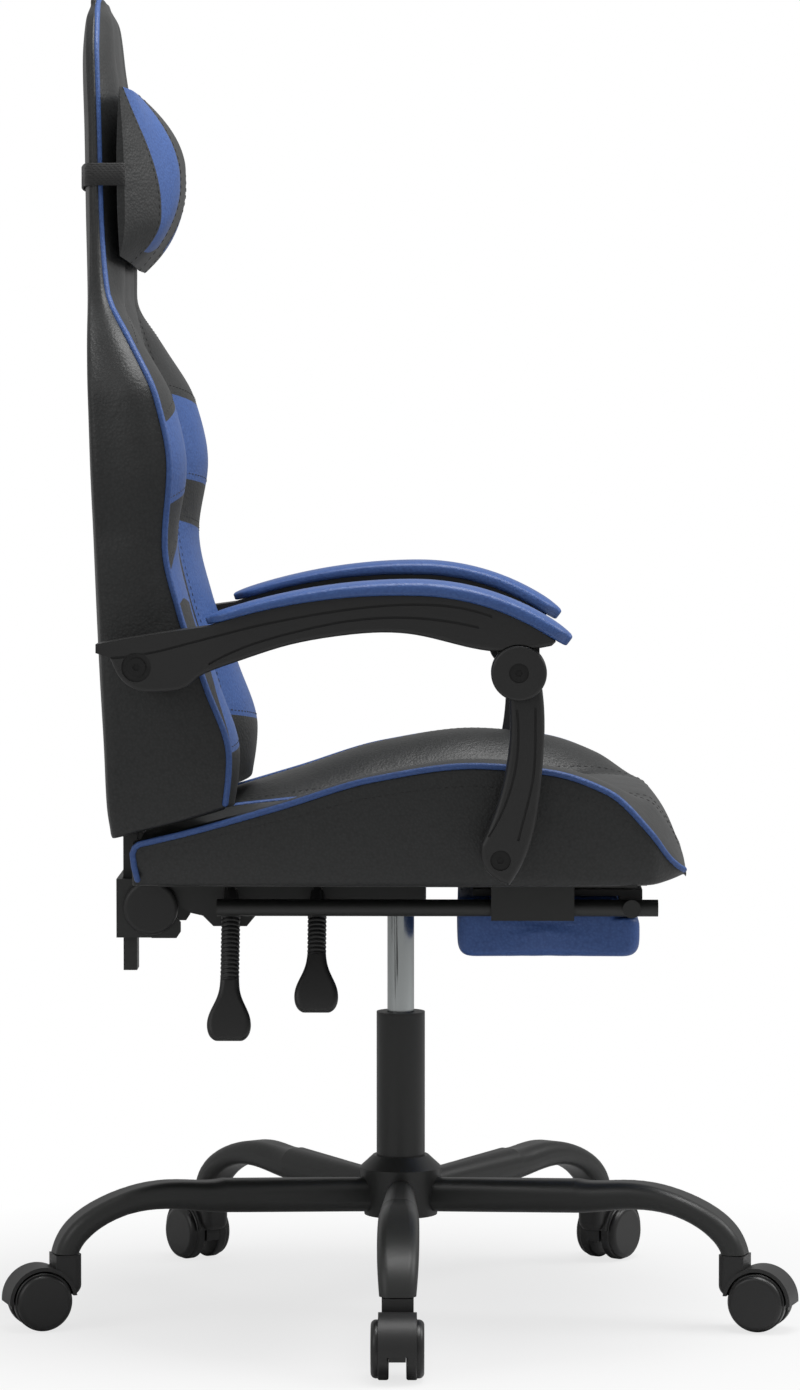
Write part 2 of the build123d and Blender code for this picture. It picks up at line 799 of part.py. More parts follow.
with BuildPart() as back_frame:
    add(frame_form.part)
    with BuildSketch(Plane(origin=hoop.wire() @ 0, z_dir=hoop.wire() % 0)):
        Circle(frame_tube_d / 2 - frame_tube_wall)
    sweep(path=hoop.wire(), mode=Mode.SUBTRACT)
    for side in (-1, 1):
        slab_along_y(
            bracket_rear + plate_t + bar_wall,
            bar_front - bar_wall,
            bar_feet[side],
            frame_foot_z,
            side * bar_y - bar_w / 2 + bar_wall,
            side * bar_y + bar_w / 2 - bar_wall,
            mode=Mode.SUBTRACT,
        )
    bar_along_y(
        rear_bolt_x, rear_bolt_z, rear_bolt_d / 2, -post_outer, post_outer, mode=Mode.SUBTRACT
    )
    with Locations(*[Plane.YZ.location * Location((y, z, bracket_rear)) for y, z in bracket_bolts]):
        Cylinder(bolt_d / 2, 8 * plate_t, mode=Mode.SUBTRACT)
save(back_frame, "back_frame")

with BuildPart() as back_bolts:
    for y, z in bracket_bolts:
        with BuildSketch(Plane.YZ.offset(bracket_rear)):
            with Locations((y, z)):
                Circle(bolt_d / 2)
        extrude(amount=bar_front - bracket_rear)
        with BuildSketch(Plane.YZ.offset(bar_front)):
            with Locations((y, z)):
                Circle(bolt_d * 0.8)
        extrude(amount=bolt_d / 2)
save(back_bolts, "back_bolts")


# Backrest cushion: narrow head, shoulders, side wings standing proud of the middle, arched waist
def back_slice(z, half, rear_mid, rear_edge, piping, ridge, middle):
    """Level cross-section of the backrest at one height."""
    corner = (rear_edge, half - seat_tuck / 3)
    edge = (piping, half)
    crest = (ridge, half * 0.84)
    foot = ((ridge + 3 * middle) / 4, half * 0.45)
    with BuildSketch(Plane.XY.offset(z)) as outline:
        with BuildLine():
            ThreePointArc((corner[0], -corner[1]), (rear_mid, 0), corner)
            Line(corner, edge)
            ThreePointArc(edge, crest, foot)
            ThreePointArc(foot, (middle, 0), (foot[0], -foot[1]))
            ThreePointArc((foot[0], -foot[1]), (crest[0], -crest[1]), (edge[0], -edge[1]))
            Line((edge[0], -edge[1]), (corner[0], -corner[1]))
        make_face()
    add(outline.sketch)


with BuildPart() as back_cushion:
    back_slice(462, seat_half - 20, -273, -261, -184, -176, -204)
    back_slice(505, seat_half - 10, -280, -267, -160, -153, -192)
    back_slice(555, seat_half - 5, -282, -269, -155, -147, -190)
    back_slice(620, seat_half - 5, -286, -272, -176, -167, -198)
    back_slice(690, seat_half - 7, -289.5, -275, -201, -193, -216)
    back_slice(752, seat_half - 7, -291.5, -278, -214, -206, -230)
    back_slice(822, seat_half - 1, -294, -281, -209, -197, -238)
    back_slice(885, seat_half - 6, -295, -284, -221, -210, -245)
    back_slice(938, seat_half - 36, -296.5, -287, -247, -239, -256)
    back_slice(985, seat_half - 88, -298.5, -289, -272, -264, -260)
    back_slice(1050, head_half, -301, -290, -279, -266, -261)
    back_slice(1140, head_half - 4, -302.5, -291, -281.5, -268, -262)
    back_slice(1205, head_half - 16, -304, -294, -284, -275, -269)
    back_slice(1245, head_half - 47, -301, -295, -285.5, -278, -273.5)
    back_slice(1265, head_half - 95, -295, -292, -288, -284, -282)
    loft()
    ground = Plane(
        origin=(back_ground_x, 0, back_ground_z),
        z_dir=(-sin(radians(back_ground_slope)), 0, cos(radians(back_ground_slope))),
    )
    split(bisect_by=ground, keep=Keep.TOP)
    add(frame_form.part, mode=Mode.SUBTRACT)
    for side in (-1, 1):
        hole_from = min(side * frame_low_half, side * post_outer)
        hole_to = max(side * frame_low_half, side * post_outer)
        bar_along_y(
            rear_bolt_x, rear_bolt_z, rear_bolt_d / 2 + gap, hole_from, hole_to, mode=Mode.SUBTRACT
        )
save(back_cushion, "back_cushion")

# Arm bolts at the backrest: shank, spacer against the wing and a low head outside the arm
lobe_outer = beam_outer - pivot_head_t
with BuildPart() as arm_bolts:
    bar_along_y(rear_bolt_x, rear_bolt_z, rear_bolt_d / 2, frame_low_half, lobe_outer + gap)
    bar_along_y(rear_bolt_x, rear_bolt_z, spacer_d / 2, seat_half - gap, beam_inner - gap)
    bar_along_y(rear_bolt_x, rear_bolt_z, rear_head_d / 2, lobe_outer + gap, beam_outer - 2 * gap)
    hex_socket(rear_bolt_x, rear_bolt_z, beam_outer - 2 * gap)
    mirror(about=Plane.XZ)
save(arm_bolts, "arm_bolts")


# Arms: arched beam with a rear lobe and a front lug, pad on top, post with a knuckle disc
def arch_point(x, inset):
    """Point on the arm's arch, a given depth below the top of the pad."""
    radius = (pad_rear_r if x < crown_x else pad_front_r) - inset
    centre_z = crown_z - inset - radius
    return (x, centre_z + (radius**2 - (x - crown_x) ** 2) ** 0.5)


tail_mid_t = (pad_t + pad_tail_t) / 2


def half_arch(x, inset):
    """Point on the same arch halfway between the crown and x."""
    return arch_point((x + crown_x) / 2, inset)


with BuildPart() as arm_pad_left:
    with BuildSketch(side_plane(arm_y - pad_half)):
        with BuildLine():
            top_rear = arch_point(pad_rear_x, 0)
            top_front = arch_point(pad_front_x, 0)
            low_rear = arch_point(pad_rear_x, pad_tail_t)
            low_front = arch_point(pad_front_x, pad_t)
            ThreePointArc(top_rear, half_arch(pad_rear_x, 0), (crown_x, crown_z))
            ThreePointArc((crown_x, crown_z), half_arch(pad_front_x, 0), top_front)
            Line(top_front, low_front)
            ThreePointArc(low_front, half_arch(pad_front_x, pad_t), (crown_x, crown_z - pad_t))
            ThreePointArc((crown_x, crown_z - pad_t), half_arch(pad_rear_x, tail_mid_t), low_rear)
            Line(low_rear, top_rear)
        make_face()
    extrude(amount=-2 * pad_half)
    fillet(arm_pad_left.faces().sort_by(SortBy.AREA)[-1].edges(), pad_round)
save(arm_pad_left, "arm_pad_left")

def side_groove(points, shift, y_from, y_to):
    """Narrow groove on the side of an arm, from a line to its copy shifted in X and Z."""
    lower = [(x + shift[0], z + shift[1]) for x, z in reversed(points)]
    with BuildSketch(side_plane(y_from)) as outline:
        with BuildLine():
            Spline(*points)
            Line(points[-1], lower[0])
            Spline(*lower)
            Line(lower[-1], points[0])
        make_face()
    extrude(outline.sketch, amount=y_from - y_to, mode=Mode.SUBTRACT)


upper_groove = [
    (rear_bolt_x - 24, rear_bolt_z + 9.5),
    (rear_bolt_x, rear_bolt_z + 12),
    (rear_bolt_x + 23, rear_bolt_z + 16.5),
    (rear_bolt_x + 46, rear_bolt_z + 22.5),
    (rear_bolt_x + 69, rear_bolt_z + 28.5),
    (rear_bolt_x + 110, rear_bolt_z + 39),
    (rear_bolt_x + 147, rear_bolt_z + 46.5),
    (crown_x - 69, crown_z - 27.5),
    (crown_x, crown_z - 21.5),
    (crown_x + 36, crown_z - 23.5),
    (crown_x + 72, crown_z - 32.5),
]
lower_groove = [
    (rear_bolt_x + 66, rear_bolt_z + 4),
    (rear_bolt_x + 79, rear_bolt_z + 11),
    (rear_bolt_x + 101, rear_bolt_z + 20.5),
    (rear_bolt_x + 145, rear_bolt_z + 33.5),
    (crown_x - 68, beam_low_z + 11),
    (crown_x - 5, beam_low_z + 15.5),
    (crown_x + 36, beam_low_z + 11.5),
    (crown_x + 60, beam_low_z + 6.5),
]
with BuildPart() as arm_beam_left:
    with BuildSketch(side_plane(beam_inner)):
        with BuildLine():
            seat_front = arch_point(pad_front_x - pad_t, pad_t)
            seat_rear_point = arch_point(pad_rear_x, pad_tail_t)
            lobe_low = (rear_bolt_x + 11, rear_bolt_z - lobe_r)
            lobe_heel = (rear_bolt_x - 24.5, rear_bolt_z + 9)
            lobe_tip = (rear_bolt_x - lobe_tail, rear_bolt_z + 13)
            lobe_top = (rear_bolt_x - lobe_tail, rear_bolt_z + 21)
            nose = (seat_front[0] - 4, seat_front[1] - 4)
            ThreePointArc(seat_rear_point, half_arch(pad_rear_x, tail_mid_t), (crown_x, crown_z - pad_t))
            ThreePointArc((crown_x, crown_z - pad_t), half_arch(pad_front_x - pad_t, pad_t), seat_front)
            Line(seat_front, nose)
            Spline(
                nose,
                (knuckle_x - 22, knuckle_z + 19.5),
                (crown_x, beam_low_z - 1),
                (crown_x - 68, beam_low_z - 2.5),
                (rear_bolt_x + 138, rear_bolt_z + 20),
                (rear_bolt_x + 90, rear_bolt_z + 4.5),
                (rear_bolt_x + 56, rear_bolt_z - 9.5),
                lobe_low,
                tangents=((-1, -0.2), (-1, 0)),
            )
            Spline(
                lobe_low,
                (rear_bolt_x - 4.5, rear_bolt_z - 18.5),
                (rear_bolt_x - 14, rear_bolt_z - 11),
                lobe_heel,
                tangents=((-1, 0), (-0.5, 1)),
            )
            Line(lobe_heel, lobe_tip)
            Line(lobe_tip, lobe_top)
            Spline(
                lobe_top,
                (rear_bolt_x - 9, rear_bolt_z + 26),
                (rear_bolt_x + 28, rear_bolt_z + 32),
                seat_rear_point,
            )
        make_face()
    extrude(amount=-2 * beam_half)
    fillet(arm_beam_left.faces().sort_by(Axis.Y)[-1].edges().sort_by(SortBy.LENGTH)[-1], beam_round)
    for line in (upper_groove, lower_groove):
        side_groove(line, (0, -groove_w), beam_outer - groove_depth, beam_outer + gap)
        side_groove(line, (0, -groove_w), beam_inner - gap, beam_inner + groove_depth)
    bar_along_y(
        rear_bolt_x,
        rear_bolt_z,
        rear_head_d / 2 + loop_clear,
        lobe_outer,
        beam_outer,
        mode=Mode.SUBTRACT,
    )
    bar_along_y(knuckle_x, knuckle_z, lug_r, beam_inner, lug_outer)
    slab_along_y(
        knuckle_x - lug_r,
        knuckle_x + lug_r,
        knuckle_z,
        arch_point(knuckle_x + lug_r, pad_t)[1],
        beam_inner,
        lug_outer,
    )
    bar_along_y(
        knuckle_x, knuckle_z, knuckle_r + 2 * gap, lug_outer, beam_outer, mode=Mode.SUBTRACT
    )
    bar_along_y(
        knuckle_x, knuckle_z, pivot_bolt_d / 2 + running, beam_inner, lug_outer, mode=Mode.SUBTRACT
    )
    bar_along_y(
        rear_bolt_x, rear_bolt_z, rear_bolt_d / 2 + loop_clear, beam_inner, lobe_outer, mode=Mode.SUBTRACT
    )
save(arm_beam_left, "arm_beam_left")

post_front_line = [
    (knuckle_x + 14, knuckle_z - 32),
    (knuckle_x + 14, knuckle_z - 60),
    (knuckle_x + 12, knuckle_z - 96),
    (knuckle_x + 4, knuckle_z - 132),
    (post_bolt_x + 15, post_bolt_z + 18),
]
post_rear_line = [
    (knuckle_x - 3, knuckle_z - 34),
    (knuckle_x - 2, knuckle_z - 70),
    (knuckle_x - 9, knuckle_z - 108),
    (post_bolt_x - 12, post_bolt_z + 22),
]
with BuildPart() as arm_post_left:
    with BuildSketch(side_plane(post_inner)):
        with BuildLine():
            Spline(
                (knuckle_x - 13, knuckle_z),
                (knuckle_x - 9, knuckle_z - 70),
                (knuckle_x - 16, knuckle_z - 108),
                (post_bolt_x - 18, post_bolt_z + 14),
            )
            Spline(
                (post_bolt_x - 18, post_bolt_z + 14),
                (post_bolt_x - 15, post_bolt_z - 6),
                (post_bolt_x + 8, post_bolt_z - 23),
            )
            Spline(
                (post_bolt_x + 8, post_bolt_z - 23),
                (post_bolt_x + 24, post_bolt_z + 6),
                (knuckle_x + 21, knuckle_z - 96),
                (knuckle_x + 23, knuckle_z - 30),
                (knuckle_x + 19, knuckle_z),
            )
            Line((knuckle_x + 19, knuckle_z), (knuckle_x - 13, knuckle_z))
        make_face()
    extrude(amount=post_inner - post_outer)
    post_rim = arm_post_left.faces().sort_by(Axis.Y)[-1].edges().filter_by(GeomType.LINE, reverse=True)
    fillet(post_rim, post_round)
    for line in (post_front_line, post_rear_line):
        side_groove(line, (groove_w, 0), post_outer - groove_depth, post_outer + gap)
    bar_along_y(
        knuckle_x, knuckle_z, knuckle_r + 2, post_inner, knuckle_split, mode=Mode.SUBTRACT
    )
    bar_along_y(knuckle_x, knuckle_z, knuckle_r, knuckle_split, knuckle_outer)
    fillet(arm_post_left.faces().sort_by(Axis.Y)[-1].edges(), knuckle_round)
    bar_along_y(
        knuckle_x, knuckle_z, pivot_bolt_d / 2, knuckle_split, knuckle_outer, mode=Mode.SUBTRACT
    )
    bar_along_y(
        knuckle_x,
        knuckle_z,
        pivot_head_d / 2,
        knuckle_outer - pivot_head_t,
        knuckle_outer,
        mode=Mode.SUBTRACT,
    )
    bar_along_y(
        post_bolt_x, post_bolt_z, pivot_bolt_d / 2 + running, post_inner, post_outer, mode=Mode.SUBTRACT
    )
    bar_along_y(
        post_bolt_x,
        post_bolt_z,
        pivot_head_d / 2 + gap,
        post_outer - pivot_head_t,
        post_outer,
        mode=Mode.SUBTRACT,
    )
save(arm_post_left, "arm_post_left")

with BuildPart() as knuckle_bolt_left:
    bar_along_y(knuckle_x, knuckle_z, pivot_bolt_d / 2, beam_inner, knuckle_outer - pivot_head_t)
    bar_along_y(
        knuckle_x,
        knuckle_z,
        pivot_head_d / 2,
        knuckle_outer - pivot_head_t,
        knuckle_outer - pivot_head_t / 2,
    )
    hex_socket(knuckle_x, knuckle_z, knuckle_outer - pivot_head_t / 2)
save(knuckle_bolt_left, "knuckle_bolt_left")

right_side = [
    (arm_pad_left, "arm_pad_right"),
    (arm_beam_left, "arm_beam_right"),
    (arm_post_left, "arm_post_right"),
    (knuckle_bolt_left, "knuckle_bolt_right"),
]
for left_piece, right_name in right_side:
    with BuildPart() as right_piece:
        add(mirror(left_piece.part, about=Plane.XZ, mode=Mode.PRIVATE))
    save(right_piece, right_name)

with BuildPart() as post_bolts:
    head_from = post_outer - pivot_head_t + gap
    head_to = post_outer - pivot_head_t / 2
    bar_along_y(post_bolt_x, post_bolt_z, pivot_bolt_d / 2, frame_half - tab_t, head_from)
    bar_along_y(post_bolt_x, post_bolt_z, spacer_d / 2, seat_half + gap, post_inner - gap)
    bar_along_y(post_bolt_x, post_bolt_z, pivot_head_d / 2, head_from, head_to)
    hex_socket(post_bolt_x, post_bolt_z, head_to)
    mirror(about=Plane.XZ)
save(post_bolts, "post_bolts")


# Head pillow: D-shaped cushion drawn in towards its ends, held by a strap round the head
def pillow_slice(y, back, bulge, shrink):
    """Side profile of the pillow at one Y: set back at the rear, bulging forward and drawn in at the bottom."""
    low = (pillow_rear - back, pillow_low + shrink)
    high = (pillow_rear - back, pillow_high - shrink / 6)
    front = (pillow_rear - back + bulge, (pillow_low + pillow_high) / 2)
    with BuildSketch(side_plane(y)) as outline:
        with BuildLine():
            Line(low, high)
            ThreePointArc(high, front, low)
        make_face()
    add(outline.sketch)


pillow_depth = pillow_front - pillow_rear
with BuildPart() as head_pillow:
    pillow_slice(-pillow_half, pillow_sweep, pillow_edge, 12)
    pillow_slice(-pillow_half * 0.88, pillow_sweep / 2, pillow_depth * 0.32, 8)
    pillow_slice(-pillow_half * 0.69, pillow_sweep / 9, pillow_depth * 0.6, 4)
    pillow_slice(-pillow_half * 0.35, 0, pillow_depth * 0.92, 1)
    pillow_slice(pillow_half * 0.35, 0, pillow_depth * 0.92, 1)
    pillow_slice(pillow_half * 0.69, pillow_sweep / 9, pillow_depth * 0.6, 4)
    pillow_slice(pillow_half * 0.88, pillow_sweep / 2, pillow_depth * 0.32, 8)
    pillow_slice(pillow_half, pillow_sweep, pillow_edge, 12)
    loft()
save(head_pillow, "head_pillow")

strap_end = pillow_rear - pillow_sweep + pillow_edge
strap_half = pillow_half + strap_t


def strap_loop(inset):
    """Level outline of the strap's run round the back of the head, drawn in by an inset."""
    rear = strap_rear + inset
    half = strap_half - inset
    turn = (rear + strap_bow, half - strap_round)
    side = (rear + strap_bow + strap_round, half)
    slant = strap_round * (1 - cos(radians(45)))
    bend = (rear + strap_bow + slant, half - slant)
    with BuildSketch(Plane.XY.offset(strap_z - strap_w / 2)) as outline:
        with BuildLine():
            ThreePointArc((turn[0], -turn[1]), (rear, 0), turn)
            ThreePointArc(turn, bend, side)
            Line(side, (strap_end, half))
            Line((strap_end, half), (strap_end, -half))
            Line((strap_end, -half), (side[0], -side[1]))
            ThreePointArc((side[0], -side[1]), (bend[0], -bend[1]), (turn[0], -turn[1]))
        make_face()
    return outline.sketch


with BuildPart() as head_strap:
    extrude(strap_loop(0), amount=strap_w)
    extrude(strap_loop(strap_t), amount=strap_w, mode=Mode.SUBTRACT)
save(head_strap, "head_strap")

# Footrest: rails sliding in guides, a pivot axle, a hinged board and its pad
with BuildPart() as footrest_rails:
    with BuildSketch(Plane.YZ.offset(rail_rear)):
        with Locations((-rail_y, rail_z), (rail_y, rail_z)):
            Circle(rail_d / 2)
            Circle(rail_d / 2 - rail_wall, mode=Mode.SUBTRACT)
    extrude(amount=rail_front - rail_rear)
    bar_along_y(
        axle_x, rail_z, axle_rod_d / 2, -rail_y - rail_d, rail_y + rail_d, mode=Mode.SUBTRACT
    )
save(footrest_rails, "footrest_rails")

with BuildPart() as footrest_guides:
    for side in (-1, 1):
        slab_along_y(
            guide_rear,
            guide_front,
            rail_z - rail_d / 2 - guide_floor,
            seat_low - guide_flange_t,
            side * rail_y - guide_half,
            side * rail_y + guide_half,
        )
        slab_along_y(
            guide_rear - guide_flare,
            guide_front + guide_flare,
            seat_low - guide_flange_t,
            seat_low,
            side * rail_y - guide_half,
            side * rail_y + guide_half,
        )
    with BuildSketch(Plane.YZ.offset(guide_rear - guide_flare)):
        with Locations((-rail_y, rail_z), (rail_y, rail_z)):
            Circle(rail_d / 2 + running)
    extrude(amount=guide_front - guide_rear + 2 * guide_flare, mode=Mode.SUBTRACT)
    with Locations(*[(x, y, seat_low) for x, y in guide_bolts]):
        Hole(bolt_d / 2, depth=guide_flange_t)
save(footrest_guides, "footrest_guides")

with BuildPart() as footrest_axle:
    bar_along_y(axle_x, rail_z, axle_rod_d / 2, -rail_y - rail_d / 2, rail_y + rail_d / 2)
    for side in (-1, 1):
        head_from = min(side * (rail_y + rail_d / 2), side * (rail_y + rail_d / 2 + axle_head_t))
        bar_along_y(axle_x, rail_z, axle_head_d / 2, head_from, head_from + axle_head_t)
save(footrest_axle, "footrest_axle")

with BuildPart() as footrest_board:
    slab_along_y(board_rear, axle_x + lug_half, rest_high, rest_high + board_t, -rest_half + 8, rest_half - 8)
    for side in (-1, 1):
        slab_along_y(
            axle_x - lug_half,
            axle_x + lug_half,
            rail_z,
            rest_high + board_t,
            side * lug_y - lug_w / 2,
            side * lug_y + lug_w / 2,
        )
        bar_along_y(axle_x, rail_z, lug_half, side * lug_y - lug_w / 2, side * lug_y + lug_w / 2)
    bar_along_y(
        axle_x, rail_z, axle_rod_d / 2 + running, -rest_half, rest_half, mode=Mode.SUBTRACT
    )
save(footrest_board, "footrest_board")

with BuildPart() as footrest_pad:
    slab_along_y(rest_rear, rest_front, rest_low, rest_high, -rest_half, rest_half)
    fillet(footrest_pad.edges().filter_by(Axis.Y), rest_round)
    fillet(footrest_pad.faces().sort_by(Axis.Y)[0].edges(), rest_round / 2)
    fillet(footrest_pad.faces().sort_by(Axis.Y)[-1].edges(), rest_round / 2)
    slab_along_y(
        axle_x - lug_half - gap,
        rest_front,
        rail_z - lug_half - gap,
        rest_high,
        -rest_half,
        rest_half,
        mode=Mode.SUBTRACT,
    )
save(footrest_pad, "footrest_pad")
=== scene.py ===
import json
import math

import bpy
import numpy as np
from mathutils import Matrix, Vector


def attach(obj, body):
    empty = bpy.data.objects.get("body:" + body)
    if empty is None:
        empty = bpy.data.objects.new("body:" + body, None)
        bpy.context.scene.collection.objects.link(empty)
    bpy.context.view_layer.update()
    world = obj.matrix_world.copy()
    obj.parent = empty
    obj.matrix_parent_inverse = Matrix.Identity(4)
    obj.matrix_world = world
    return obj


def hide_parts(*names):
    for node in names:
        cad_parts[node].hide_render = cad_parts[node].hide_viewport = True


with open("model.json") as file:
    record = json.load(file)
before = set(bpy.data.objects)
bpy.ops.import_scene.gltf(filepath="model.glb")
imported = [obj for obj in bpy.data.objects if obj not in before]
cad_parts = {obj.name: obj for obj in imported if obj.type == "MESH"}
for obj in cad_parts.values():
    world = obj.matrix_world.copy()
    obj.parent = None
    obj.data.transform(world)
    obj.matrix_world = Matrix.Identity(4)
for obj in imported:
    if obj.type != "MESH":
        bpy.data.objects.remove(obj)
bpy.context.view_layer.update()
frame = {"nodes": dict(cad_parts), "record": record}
scene = bpy.context.scene

# Sizes, in metres. +X is forward, +Y the sitter's left, +Z up; the origin is on the floor under the gas lift.

# Camera, from the photograph's perspective
CAMERA_PLACE = (0.0657, -4.893, 0.8876)
CAMERA_PITCH = 3.379
CAMERA_YAW = 0.778
LENS_MM = 131.12

# Studio light: even fill, the share of the white backdrop that reflections show, and lamps by
# place, aim, size and power in watts
AMBIENT = 0.3
MIRRORED_SHARE = 0.25
LAMPS = [
    ("top_lamp", (0.4, -0.3, 3.1), (0.0, 0.0, 0.6), 1.6, 68),
    ("right_lamp", (2.6, 0.1, 2.4), (0.0, 0.0, 0.8), 1.4, 36),
    ("left_lamp", (-2.6, -2.1, 2.2), (-0.2, 0.0, 0.9), 2.0, 20),
]

# Upholstery
PIPING_RADIUS = 0.0029
GRAIN = 0.0026
STITCH_LENGTH = 0.0042
STITCH_PITCH = 0.0068
STITCH_RADIUS = 0.0005
THREAD_STEP = 0.004
WELT_STEP = 0.006

# Cloth: pressure under each cover and how far it may swell between its seams
BACK_SWELL = (2.2, 0.005)
SEAT_SWELL = (2.2, 0.004)
PILLOW_SWELL = (1.2, 0.003)
REST_SWELL = (1.6, 0.004)

# Backrest: height, half width, rear middle, rear edge, piping, ridge and middle of the front
BACK_STATIONS = [
    (0.462, 0.228, -0.273, -0.261, -0.184, -0.176, -0.204),
    (0.505, 0.238, -0.280, -0.267, -0.160, -0.153, -0.192),
    (0.555, 0.243, -0.282, -0.269, -0.155, -0.147, -0.190),
    (0.620, 0.243, -0.286, -0.272, -0.176, -0.167, -0.198),
    (0.690, 0.241, -0.2895, -0.275, -0.201, -0.193, -0.216),
    (0.752, 0.241, -0.2915, -0.278, -0.214, -0.206, -0.230),
    (0.822, 0.247, -0.294, -0.281, -0.209, -0.197, -0.238),
    (0.885, 0.242, -0.295, -0.284, -0.221, -0.210, -0.245),
    (0.938, 0.212, -0.2965, -0.287, -0.247, -0.240, -0.256),
    (0.985, 0.160, -0.2985, -0.289, -0.272, -0.265, -0.261),
    (1.050, 0.137, -0.301, -0.290, -0.279, -0.266, -0.261),
    (1.140, 0.133, -0.3025, -0.291, -0.2815, -0.268, -0.262),
    (1.205, 0.121, -0.304, -0.294, -0.284, -0.275, -0.269),
    (1.245, 0.090, -0.301, -0.295, -0.2855, -0.278, -0.2735),
    (1.259, 0.060, -0.2965, -0.293, -0.287, -0.2835, -0.280),
]
BACK_TOP = 1.259
BACK_NECK = 1.03
BACK_ROUND = 0.006
# Across the half width: the ridge of a wing and its foot
RIDGE_SHARE = 0.84
WING_FOOT_SHARE = 0.45
BACK_GROUND = (-0.242, 0.4815, math.tan(math.radians(15.4)))
# Wing seams from the piping over the ridge to the wing's foot, highest first
WING_PLACES = (0.0, 0.2, 0.45, 1.0)
WING_SEAMS = [
    (0.909, 0.930, 0.952, 0.972),
    (0.862, 0.870, 0.879, 0.892),
    (0.7875, 0.793, 0.7985, 0.808),
    (0.722, 0.7395, 0.756, 0.768),
    (0.694, 0.7015, 0.694, 0.690),
    (0.556, 0.557, 0.559, 0.574),
]
# Outer hip panel: how far it reaches from the piping towards the wing's foot, by height
HIP_REACH = [(0.556, 0.02), (0.590, 0.08), (0.620, 0.17), (0.660, 0.29), (0.694, 0.36), (0.72, 0.40)]

# Seat: distance forward, half width, piping, crest, middle and underside heights
SEAT_STATIONS = [
    (-0.246, 0.232, 0.472, 0.473, 0.466, 0.434),
    (-0.190, 0.240, 0.486, 0.488, 0.477, 0.434),
    (-0.110, 0.245, 0.509, 0.511, 0.486, 0.434),
    (-0.020, 0.248, 0.536, 0.539, 0.493, 0.434),
    (0.070, 0.248, 0.548, 0.552, 0.500, 0.434),
    (0.140, 0.247, 0.542, 0.546, 0.508, 0.434),
    (0.195, 0.243, 0.523, 0.529, 0.513, 0.434),
    (0.234, 0.235, 0.485, 0.499, 0.509, 0.435),
    (0.252, 0.218, 0.460, 0.478, 0.489, 0.4385),
    (0.263, 0.205, 0.450, 0.460, 0.468, 0.442),
    (0.268, 0.196, 0.447, 0.451, 0.454, 0.444),
]
SEAT_TUCK = 0.009
BOLSTER_WIDTH = 0.108
BOLSTER_CREST = 0.040
DISH_CROWN = 0.004
INNER_WELT_END = 0.10
INNER_WELT_FADE = 0.06
INNER_WELT_SINK = 0.007

# Head pillow: place across, rear, front, lowest, fullest and highest points of its outline
PILLOW_STATIONS = [
    (0.000, -0.2500, -0.2065, 1.0065, 1.101, 1.1745),
    (0.048, -0.2500, -0.2095, 1.0070, 1.090, 1.1747),
    (0.095, -0.2512, -0.2245, 1.0100, 1.060, 1.1755),
    (0.121, -0.2555, -0.2415, 1.0140, 1.058, 1.1765),
    (0.138, -0.2610, -0.2555, 1.0180, 1.056, 1.1778),
]
PILLOW_BANDS = (0.047, 0.095)
# The outer seams lean outwards by these distances at the pillow's top and bottom
PILLOW_EAR = 0.037
PILLOW_HEEL = 0.014
# Columns of its section: the front, the blue of the bands and the stitches
PILLOW_FRONT = 34
BAND_COLUMNS = slice(8, 33)
STITCH_COLUMNS = slice(2, 32)

# Head strap: level band from one end of the pillow round the head to the other
STRAP_HEIGHT = 1.095
STRAP_WIDTH = 0.021
STRAP_THICK = 0.002
STRAP_REAR = -0.3042
STRAP_BOW = 0.010
STRAP_TURN = 0.011
STRAP_HALF = 0.1398
STRAP_END = -0.256

# Arm pads: two arcs that meet at the crown
ARM_Y = 0.276
PAD_HALF = 0.0268
PAD_THICK = 0.0152
PAD_TAIL = 0.0102
PAD_CROWN = (0.015, 0.7212)
PAD_ARCS = (0.560, 0.240)
PAD_ENDS = (-0.172, 0.1598)
PAD_END_ROUND = 0.021

# Footrest pad
REST_LOW = (0.0552, -0.1328, 0.3582)
REST_HIGH = (0.2278, 0.1328, 0.4158)
REST_NOTCH = (0.2075, 0.3955)
REST_ROUND = 0.013


def linear(colour):
    """Linear RGBA of an sRGB hex colour."""
    channels = [int(colour[start:start + 2], 16) / 255 for start in (1, 3, 5)]
    return (*[c / 12.92 if c <= 0.04045 else ((c + 0.055) / 1.055) ** 2.4 for c in channels], 1.0)


def add_node(tree, kind, settings=None, links=None):
    """Adds a node, gives it its settings and input values, and links its inputs."""
    node = tree.nodes.new(kind)
    for name, value in (settings or {}).items():
        if name in node.inputs.keys() or isinstance(name, int):
            node.inputs[name].default_value = value
        else:
            setattr(node, name, value)
    for name, source in (links or {}).items():
        tree.links.new(source, node.inputs[name])
    return node


def new_finish(name):
    """An empty material: returns it with its node tree, its shader and its Object coordinates."""
    finish = bpy.data.materials.new(name)
    finish.use_nodes = True
    tree = finish.node_tree
    shader = tree.nodes["Principled BSDF"]
    place = add_node(tree, "ShaderNodeTexCoord")
    return finish, tree, shader, place.outputs["Object"]


